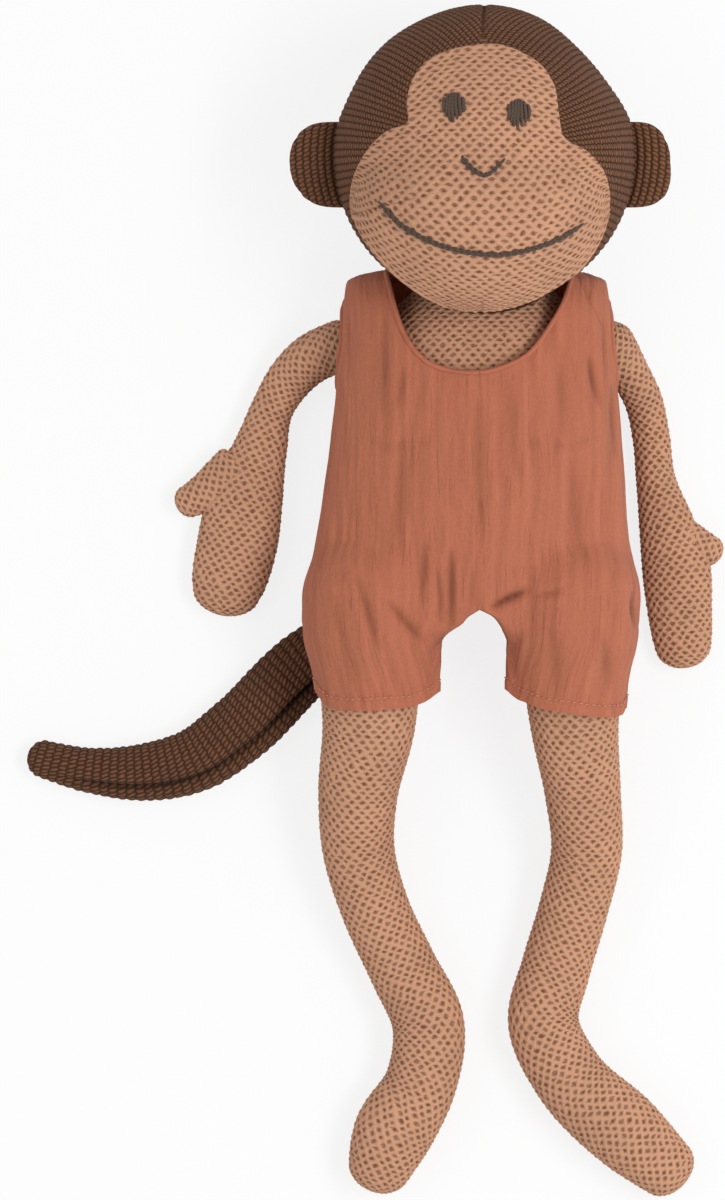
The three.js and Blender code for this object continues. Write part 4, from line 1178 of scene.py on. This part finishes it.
def cut_opening(bm, gap_of):
    """Cuts the cloth along a line and takes off what lies inside; returns the rim's chains of points"""
    layer = bm.verts.layers.float.new("gap")
    gaps = gap_of(np.array([v.co for v in bm.verts]) / METRES)
    for vert, gap in zip(bm.verts, gaps):
        vert[layer] = gap if abs(gap) > 1e-3 else 1e-3
    crossing = [e for e in bm.edges if e.verts[0][layer] * e.verts[1][layer] < 0]
    if not crossing:
        raise RuntimeError("An opening of the romper misses its cloth")
    shares = {e: e.verts[0][layer] / (e.verts[0][layer] - e.verts[1][layer]) for e in crossing}
    made = bmesh.ops.bisect_edges(bm, edges=crossing, cuts=1, edge_percents=shares)
    rim = [item for item in made["geom_split"] if isinstance(item, bmesh.types.BMVert)]
    for vert in rim:
        vert[layer] = 0.0
    bmesh.ops.connect_verts(bm, verts=rim)
    gone = [f for f in bm.faces if any(vert[layer] < 0 for vert in f.verts)]
    bmesh.ops.delete(bm, geom=gone, context="FACES")
    chains = ordered_rim([vert for vert in bm.verts if vert[layer] == 0.0])
    bm.verts.layers.float.remove(layer)
    return chains


def ordered_rim(verts):
    """Rim vertices as chains of points, walked along the open edges between them.
    A dict keeps the mesh's order, which a set doesn't, so that the walk is the same each run."""
    left = dict.fromkeys(verts)
    chains = []

    def neighbours(vert):
        return [e.other_vert(vert) for e in vert.link_edges if e.is_boundary and e.other_vert(vert) in left]

    while left:
        start = next((v for v in left if len(neighbours(v)) <= 1), None) or next(iter(left))
        chain = [start]
        del left[start]
        while True:
            ahead = neighbours(chain[-1])
            if not ahead:
                break
            chain.append(ahead[0])
            del left[ahead[0]]
        if len(chain) > 8:
            chains.append(np.array([v.co for v in chain]) / METRES)
    return chains


def give_wall(obj, thickness):
    """Gives a sheet its thickness inwards, with crisp edges at its rims"""
    wall = obj.modifiers.new("Wall", "SOLIDIFY")
    wall.thickness = thickness * METRES
    wall.offset = -1
    shape = obj.evaluated_get(bpy.context.evaluated_depsgraph_get())
    thin = obj.data
    obj.data = bpy.data.meshes.new_from_object(shape)
    obj.modifiers.clear()
    bpy.data.meshes.remove(thin)
    obj.data.name = obj.name
    obj.data.set_sharp_from_angle(angle=math.radians(55))


def hem_stitches(name, line):
    """Short stitches in a row along a closed line"""
    pitch = bpy.context.scene.plush_cloth.stitch_pitch / METRES
    along = lengths_along(line)
    stitches = []
    for k in range(int(along[-1] / pitch)):
        steps = np.linspace(k * pitch, (k + 0.72) * pitch, 5)
        path = np.stack([np.interp(steps, along, line[:, j]) for j in range(3)], axis=1)
        stitches.append(thread_object(f"{name}_{k}", path, [0.1, 0.22, 0.26, 0.22, 0.1], 6))
    row = join_pieces(name, stitches)
    dress(row, "Topstitch thread")
    return row


def make_romper_half(side, crinkle):
    sheets, hem = romper_half(side, crinkle)
    parts = [grid_object(f"romper_{side}_{k}", *grid) for k, grid in enumerate(sheets)]
    sheet = join_pieces(f"romper_{side}", parts)
    bm = bmesh.new()
    bm.from_mesh(sheet.data)
    bmesh.ops.remove_doubles(bm, verts=bm.verts, dist=2e-5)
    rims = [cut_opening(bm, gap_of)
            for gap_of in (neckline_gap, lambda points: armhole_gap(points, side))]
    bmesh.ops.recalc_face_normals(bm, faces=bm.faces)
    middle = Vector(np.mean([v.co for v in bm.verts], axis=0))
    facing = sum((f.calc_center_median() - middle).dot(f.normal) * f.calc_area() for f in bm.faces)
    if facing < 0:
        bmesh.ops.reverse_faces(bm, faces=bm.faces)
    bm.to_mesh(sheet.data)
    bm.free()
    return sheet, rims, hem


# Settings
class PlushFinishes(bpy.types.PropertyGroup):
    """Colours of yarn, cloth and thread"""

    tan: FloatVectorProperty(name="Tan yarn", description="Colour of the face, hands and legs",
                             default=(0.505, 0.266, 0.163), subtype="COLOR", min=0, max=1)
    brown: FloatVectorProperty(name="Brown yarn", description="Colour of the hood, ears and tail",
                               default=(0.158, 0.069, 0.035), subtype="COLOR", min=0, max=1)
    muslin: FloatVectorProperty(name="Muslin", description="Colour of the romper",
                                default=(0.478, 0.158, 0.089), subtype="COLOR", min=0, max=1)
    thread: FloatVectorProperty(name="Embroidery", description="Colour of the eyes, nose and mouth",
                                default=(0.10, 0.066, 0.048), subtype="COLOR", min=0, max=1)
    seam: FloatVectorProperty(name="Seam thread", description="Colour of the hidden sewing thread",
                              default=(0.42, 0.22, 0.13), subtype="COLOR", min=0, max=1)


class PlushKnit(bpy.types.PropertyGroup):
    """Size of the stitches"""

    stitch_wide: FloatProperty(name="Stitch width", description="Width of a tan stitch on a leg",
                               default=0.0033, unit="LENGTH", precision=5)
    stitch_high: FloatProperty(name="Stitch height", description="Height of two tan rows on a leg",
                               default=0.0034, unit="LENGTH", precision=5)
    ridge_wide: FloatProperty(name="Ridge pitch", description="Distance between two brown ridges",
                              default=0.0025, unit="LENGTH", precision=5)
    ridge_step: FloatProperty(name="Ridge stitch", description="Length of one stitch along a brown ridge",
                              default=0.0014, unit="LENGTH", precision=5)
    relief: FloatProperty(name="Relief", description="Depth of the stitches in the surface",
                          default=0.00042, unit="LENGTH", precision=5)


class PlushCloth(bpy.types.PropertyGroup):
    """The romper's cloth"""

    crinkle: FloatProperty(name="Crinkle", description="Height of the creases along the muslin",
                           default=0.00019, unit="LENGTH", precision=5)
    stitch_pitch: FloatProperty(name="Topstitch pitch", description="Distance between two hem stitches",
                                default=0.0021, unit="LENGTH", precision=5)


class PlushStage(bpy.types.PropertyGroup):
    """Floor, lamps and camera"""

    floor: FloatVectorProperty(name="Floor", description="Colour of the floor", default=(0.86, 0.86, 0.86),
                               subtype="COLOR", min=0, max=1)
    key_power: FloatProperty(name="Key lamp", description="Power of the large soft lamp", default=50.0,
                             subtype="POWER", unit="POWER")
    fill_power: FloatProperty(name="Fill lamp", description="Power of the lamp on the toy's right",
                              default=11.0, subtype="POWER", unit="POWER")
    sky: FloatProperty(name="Sky", description="Strength of the even light from all round", default=0.6)


def knit_sizes():
    """Stitch sizes and relief in millimetres"""
    knit = bpy.context.scene.plush_knit
    return (np.array([knit.stitch_wide, knit.stitch_high]) / METRES,
            np.array([knit.ridge_wide, knit.ridge_step]) / METRES, knit.relief / METRES)


class PLUSH_OT_head(bpy.types.Operator):
    """Makes the hood and the face panel"""

    bl_idname = "plush.head"
    bl_label = "Head"

    def execute(self, context):
        _, ridge, relief = knit_sizes()
        hood = make_hood(1.1 * relief, ridge)
        dress(hood, "Brown knit")
        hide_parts("head_hood", "head_stuffing")
        face = make_face(relief)
        dress(face, "Tan knit")
        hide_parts("face_panel")
        for piece in (hood, face):
            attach(piece, "head")
        return {"FINISHED"}


class PLUSH_OT_ears(bpy.types.Operator):
    """Makes the two padded ears"""

    bl_idname = "plush.ears"
    bl_label = "Ears"

    def execute(self, context):
        _, ridge, relief = knit_sizes()
        for name, side in (("right_ear", -1), ("left_ear", 1)):
            ear = make_ear(name + "_knit", side, 0.8 * relief, ridge * np.array([0.94, 1.0]))
            dress(ear, "Brown knit")
            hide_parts(name)
            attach(ear, name)
        return {"FINISHED"}


def satin_eye(name, centre):
    """Upright threads side by side in an oval, the middle one with a stem below"""
    strands = []
    for k in range(EYE_THREADS):
        off = (k - (EYE_THREADS - 1) / 2) / (EYE_THREADS / 2)
        half = EYE_HALF_HEIGHT * math.sqrt(1 - off * off * 0.9)
        stem = EYE_STEM * (1 - abs(off) * 1.6) if abs(off) < 0.6 else 0.0
        steps = np.linspace(0, 1, 16)
        x = centre[0] + off * EYE_HALF_WIDTH + 0.25 * np.sin(steps * 3 + k)
        y = centre[1] + half - steps * (2 * half + stem)
        lift = 0.15 + 0.75 * np.sin(np.pi * clamp(steps * (1 + stem / 8))) ** 0.6
        radius = 0.62 * np.maximum(0.35, np.sin(np.pi * (0.08 + 0.84 * steps)) ** 0.4)
        strands.append(thread_object(f"{name}_{k}", on_face(np.stack([x, y], axis=1), lift), radius))
    return join_pieces(name, strands)


def twisted_line(name, path, radius, taper=5.0):
    """Two strands twisted round each other along a line on the face"""
    centre = smooth_line(path, 160)
    along = lengths_along(centre)
    ahead = unit(np.gradient(centre, axis=0))
    side = np.stack([-ahead[:, 1], ahead[:, 0]], axis=1)
    ends = np.minimum(along, along[-1] - along)
    size = 0.4 + 0.6 * ease(0, taper, ends)
    strands = []
    for phase in (0.0, np.pi):
        turn = 2 * np.pi * along / PLY_PITCH + phase
        place = centre + side * (0.62 * radius * size * np.cos(turn))[:, None]
        rise = PLY_LIFT * size + 0.5 * radius * size * np.sin(turn)
        strands.append(thread_object(f"{name}_{phase:.0f}", on_face(place, rise), radius * size * 0.72))
    return join_pieces(name, strands)


class PLUSH_OT_embroidery(bpy.types.Operator):
    """Makes the eyes, the nose and the mouth of thread"""

    bl_idname = "plush.embroidery"
    bl_label = "Embroidery"

    def execute(self, context):
        pieces = {
            "right_eye": satin_eye("right_eye_thread", RIGHT_EYE),
            "left_eye": satin_eye("left_eye_thread", LEFT_EYE),
            "nose_stitch": join_pieces("nose_thread", [
                twisted_line(f"nose_{k}", stroke, radius, taper=2.5)
                for k, (stroke, radius) in enumerate(zip(NOSE_STROKES, NOSE_RADII))]),
            "mouth_stitch": twisted_line("mouth_thread", MOUTH_LINE, MOUTH_RADIUS),
        }
        for node, piece in pieces.items():
            dress(piece, "Embroidery thread")
            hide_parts(node)
            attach(piece, "head")
        return {"FINISHED"}


def clear_of_ball(points, centre, radius):
    """Moves points that lie inside a ball out to its surface"""
    out = points - np.array(centre)
    size = np.linalg.norm(out, axis=-1, keepdims=True)
    return np.where(size < radius, np.array(centre) + out / np.maximum(size, 1e-6) * radius, points)


class PLUSH_OT_torso(bpy.types.Operator):
    """Makes the torso and the neck gusset behind the head"""

    bl_idname = "plush.torso"
    bl_label = "Torso and neck"

    def execute(self, context):
        pitch, _, relief = knit_sizes()
        rows = trunk_rows(TORSO_ROWS, TORSO_UNDER)
        points, stitches = knitted_tube(rows, (7, 7), 0.8, pitch, relief, upright=True)
        points = clear_of_ball(points, HEAD, HEAD_RADIUS + HEAD_CLEARANCE)
        for shoulder in SHOULDERS.values():
            points = clear_of_ball(points, shoulder, SHOULDER_BALL + SHOULDER_CLEARANCE)
        torso = grid_object("torso_knit", points, stitches)
        dress(torso, "Tan knit")
        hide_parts("torso_skin", "torso_stuffing")
        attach(torso, "torso")
        turns = np.linspace(math.radians(180), math.radians(360), 91)
        spin, reach = np.meshgrid(turns, np.linspace(*NECK_STRIP_REACH, 9), indexing="ij")
        radius = HEAD_RADIUS + NECK_STRIP_CLEAR
        band = np.stack([HEAD[0] + reach * np.cos(spin), HEAD[1] - np.sqrt(radius**2 - reach**2),
                         HEAD[2] + reach * np.sin(spin)], axis=2)
        keep = (band[..., 2] < HEAD[2] - NECK_STRIP_BELOW).all(axis=1)
        band, spin, reach = band[keep], spin[keep], reach[keep]
        cells = np.stack([spin * np.mean(NECK_STRIP_REACH) / pitch[0], reach / pitch[1]], axis=2)
        neck = grid_object("neck_knit", band, cells)
        wall = neck.modifiers.new("Wall", "SOLIDIFY")
        wall.thickness = NECK_STRIP_THICK * METRES
        wall.offset = 0
        dress(neck, "Tan knit")
        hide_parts("neck_gusset")
        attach(neck, "neck")
        return {"FINISHED"}


class PLUSH_OT_arms(bpy.types.Operator):
    """Makes the two arms with mitten hands and thumbs"""

    bl_idname = "plush.arms"
    bl_label = "Arms"

    def execute(self, context):
        pitch, _, relief = knit_sizes()
        pitch = pitch * 0.93
        for side in SIDES:
            rows = limb_rows(SHOULDERS[side], SHOULDER_BALL, ARMS[side])
            arm = knitted_tube(rows, (SHOULDER_BALL, 5), 0.5, pitch, relief)
            thumb = knitted_tube(THUMBS[side], (3, 3.5), 0.5, pitch, relief)
            parts = [grid_object(f"{side}_arm_part", *arm), grid_object(f"{side}_thumb_part", *thumb)]
            whole = join_pieces(f"{side}_arm_knit", parts)
            dress(whole, "Tan knit")
            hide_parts(f"{side}_arm_skin", f"{side}_arm_stuffing")
            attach(whole, f"{side}_arm")
        return {"FINISHED"}


class PLUSH_OT_legs(bpy.types.Operator):
    """Makes the two legs"""

    bl_idname = "plush.legs"
    bl_label = "Legs"

    def execute(self, context):
        pitch, _, relief = knit_sizes()
        for side in SIDES:
            rows = limb_rows(HIPS[side], HIP_BALL, LEGS[side])
            leg = grid_object(f"{side}_leg_knit", *knitted_tube(rows, (HIP_BALL, 6), 0.58, pitch, relief))
            dress(leg, "Tan knit")
            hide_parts(f"{side}_leg_skin", f"{side}_leg_stuffing")
            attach(leg, f"{side}_leg")
        return {"FINISHED"}


def tail_crease(along, around):
    """The lengthwise groove on the tail's lower side: its relief, and the painted shade that darkens the
    groove and, near the root, the lobe below it
    """
    place = (9.5 - 0.035 * along)[:, None]
    strength = (ease(22, 40, along) * ease(along[-1] - 8, along[-1] - 30, along))[:, None]
    root = ease(95, 45, along)[:, None]
    off = -around - place
    groove = strength * np.exp(-((np.abs(off) / 1.5) ** 1.4))
    # Painted shade in the groove, and a painted shadow of the body on the lobe near the root
    painted_shading = -(0.75 + 0.6 * root) * groove - 0.35 * root * strength * ease(0.5, 3, off)
    return -(2.6 + 2.0 * root) * groove, painted_shading


class PLUSH_OT_tail(bpy.types.Operator):
    """Makes the tail"""

    bl_idname = "plush.tail"
    bl_label = "Tail"

    def execute(self, context):
        _, ridge, relief = knit_sizes()
        rows = limb_rows(TAIL_ROOT, TAIL_BALL, TAIL)
        points, along, around, ahead = stuffed_tube(rows, TAIL_BALL, 5, 0.5)
        u = np.broadcast_to(along[:, None] / TAIL_RIDGE, around.shape)
        v = around / ridge[1]
        ends = np.minimum(along, along[-1] - along)
        height = 1.1 * relief * ridge_relief(u, v) * ease(0.5, 4, ends)[:, None]
        # The groove's relief, and its painted shade for the material
        groove, painted_shading = tail_crease(along, around)
        height = height + groove
        points = onto_floor(points + tube_normals(points, ahead) * height[..., None])
        tail = grid_object("tail_knit", points, np.stack([u, v], axis=2), painted_shading)
        dress(tail, "Shaded tail knit")
        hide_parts("tail_skin", "tail_stuffing")
        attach(tail, "tail")
        return {"FINISHED"}


class PLUSH_OT_romper(bpy.types.Operator):
    """Makes the two halves of the muslin romper, sewn together down the middle"""

    bl_idname = "plush.romper"
    bl_label = "Romper"

    def execute(self, context):
        crinkle = context.scene.plush_cloth.crinkle / METRES
        for side, sign in SIDES.items():
            sheet, rims, hem = make_romper_half(side, crinkle)
            give_wall(sheet, MUSLIN_WALL)
            dress(sheet, "Muslin")
            nodes = ["romper_bodice"] if side == "right" else []
            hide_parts(*nodes, f"romper_{side}_leg")
            parts = [sheet, hem_stitches(f"romper_{side}_hem", hem)]
            for name, chains in zip(("neck", "armhole"), rims):
                for k, chain in enumerate(chains):
                    line = smooth_line(chain[:: max(1, len(chain) // 60)], 200)
                    line[:, 2] = np.maximum(line[:, 2], EDGE_ROLL)
                    roll = thread_object(f"romper_{side}_{name}_{k}", line, EDGE_ROLL, 10)
                    dress(roll, "Muslin")
                    parts.append(roll)
            end = (sign * BEND_END[0], *BEND_END[1:])
            for part in parts:
                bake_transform(part, "torso", f"{side}_leg", start=BEND_START, end=end)
        return {"FINISHED"}


class PLUSH_OT_seams(bpy.types.Operator):
    """Gives the hidden seam rings their thread"""

    bl_idname = "plush.seams"
    bl_label = "Seam rings"

    def execute(self, context):
        for name in ("right_shoulder_seam", "left_shoulder_seam", "right_hip_seam", "left_hip_seam"):
            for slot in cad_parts[name].material_slots:
                slot.material = finishes()["Sewing thread"]
        return {"FINISHED"}


def seen_directly(graph, *rays):
    """1 for rays of the given kinds, such as the camera's, and 0 for those that light the toy"""
    path = graph.add("ShaderNodeLightPath")
    seen = path.outputs[rays[0]]
    for ray in rays[1:]:
        seen = graph.math("MAXIMUM", seen, path.outputs[ray])
    return seen


def make_floor(colour):
    """A wide floor that looks nearly white to the camera and lights the toy in its own colour"""
    bm = bmesh.new()
    bmesh.ops.create_grid(bm, x_segments=2, y_segments=2, size=FLOOR_SIZE)
    floor = place_object("floor", mesh_from(bm, "floor"))
    material, g, shader = new_material("Pale floor", 0.9, 0.0)
    shader.inputs["Base Color"].default_value = (*colour, 1.0)
    shader.inputs["Specular IOR Level"].default_value = 0.0
    seen = seen_directly(g, "Is Camera Ray", "Is Glossy Ray", "Is Transmission Ray")
    glow = g.add("ShaderNodeEmission", {"Strength": 1.0})
    mixed = g.add("ShaderNodeMixShader")
    for socket, value in zip(mixed.inputs, (g.math("MULTIPLY", seen, 0.82), shader, glow)):
        g.feed(socket, value)
    g.feed(material.node_tree.nodes["Material Output"].inputs["Surface"], mixed)
    floor.data.materials.append(material)


def make_sky(scene, strength):
    """An even white light, which the camera sees at full white"""
    scene.world = scene.world or bpy.data.worlds.new("Sky")
    scene.world.use_nodes = True
    sky = Graph(scene.world.node_tree)
    back = scene.world.node_tree.nodes["Background"]
    seen = seen_directly(sky, "Is Camera Ray", "Is Glossy Ray")
    sky.feed(back.inputs["Strength"], sky.between(seen, 0.0, 1.0, strength, 1.0))
    back.inputs["Color"].default_value = (1.0, 1.0, 1.0, 1.0)


def look_along(way):
    """Turn of a lamp that shines along a direction"""
    way = unit(np.array(way, float))
    return (math.acos(-way[2]), 0.0, math.atan2(way[0], -way[1]))


def make_lamp(name, power):
    lamp = bpy.data.lights.new(name, "AREA")
    lamp.energy = power
    lamp.size = LAMP_SIZE
    lamp_object = place_object(name, lamp)
    lamp_object.location = LAMPS[name]
    lamp_object.rotation_euler = look_along(-np.array(LAMPS[name]) + np.array(LAMP_AIM))
    lamp_object.visible_camera = False


def make_camera(scene):
    """A camera far above with a long lens, so that it sees the toy nearly without perspective"""
    camera = bpy.data.cameras.new("camera")
    camera.lens = LENS
    camera.sensor_width = SENSOR
    camera.clip_start = 0.1
    camera.clip_end = 50.0
    scene.camera = place_object("camera", camera)
    scene.camera.location = (*CAMERA_PLACE, FOCUS_HEIGHT + VIEW_HEIGHT * LENS / SENSOR)


class PLUSH_OT_stage(bpy.types.Operator):
    """Makes the floor, the lamps, the sky and the camera"""

    bl_idname = "plush.stage"
    bl_label = "Stage"

    def execute(self, context):
        settings = context.scene.plush_stage
        make_floor(settings.floor)
        make_sky(context.scene, settings.sky)
        make_lamp("key", settings.key_power)
        make_lamp("fill", settings.fill_power)
        make_camera(context.scene)
        context.scene.view_settings.view_transform = "Standard"
        return {"FINISHED"}


class PLUSH_PT_panel(bpy.types.Panel):
    """Lists the toy's settings and makers"""

    bl_label = "Plush monkey"
    bl_idname = "PLUSH_PT_panel"
    bl_space_type = "VIEW_3D"
    bl_region_type = "UI"
    bl_category = "Plush"

    def draw(self, context):
        scene = context.scene
        for group in (scene.plush_finishes, scene.plush_knit, scene.plush_cloth, scene.plush_stage):
            box = self.layout.box()
            for name in group.__annotations__:
                box.prop(group, name)
        for maker in MAKERS:
            self.layout.operator(maker.bl_idname)


MAKERS = (PLUSH_OT_head, PLUSH_OT_ears, PLUSH_OT_embroidery, PLUSH_OT_torso, PLUSH_OT_arms, PLUSH_OT_legs,
          PLUSH_OT_tail, PLUSH_OT_romper, PLUSH_OT_seams, PLUSH_OT_stage)
GROUPS = {"plush_finishes": PlushFinishes, "plush_knit": PlushKnit, "plush_cloth": PlushCloth,
          "plush_stage": PlushStage}


def register():
    for group in GROUPS.values():
        bpy.utils.register_class(group)
    for name, group in GROUPS.items():
        setattr(bpy.types.Scene, name, PointerProperty(type=group))
    for maker in (*MAKERS, PLUSH_PT_panel):
        bpy.utils.register_class(maker)


def unregister():
    for maker in reversed((*MAKERS, PLUSH_PT_panel)):
        bpy.utils.unregister_class(maker)
    for name in GROUPS:
        delattr(bpy.types.Scene, name)
    for group in reversed(GROUPS.values()):
        bpy.utils.unregister_class(group)


def main():
    register()
    bpy.ops.plush.head()
    bpy.ops.plush.ears()
    bpy.ops.plush.embroidery()
    bpy.ops.plush.torso()
    bpy.ops.plush.arms()
    bpy.ops.plush.legs()
    bpy.ops.plush.tail()
    bpy.ops.plush.romper()
    bpy.ops.plush.seams()
    bpy.ops.plush.stage()


if __name__ == "__main__":
    main()
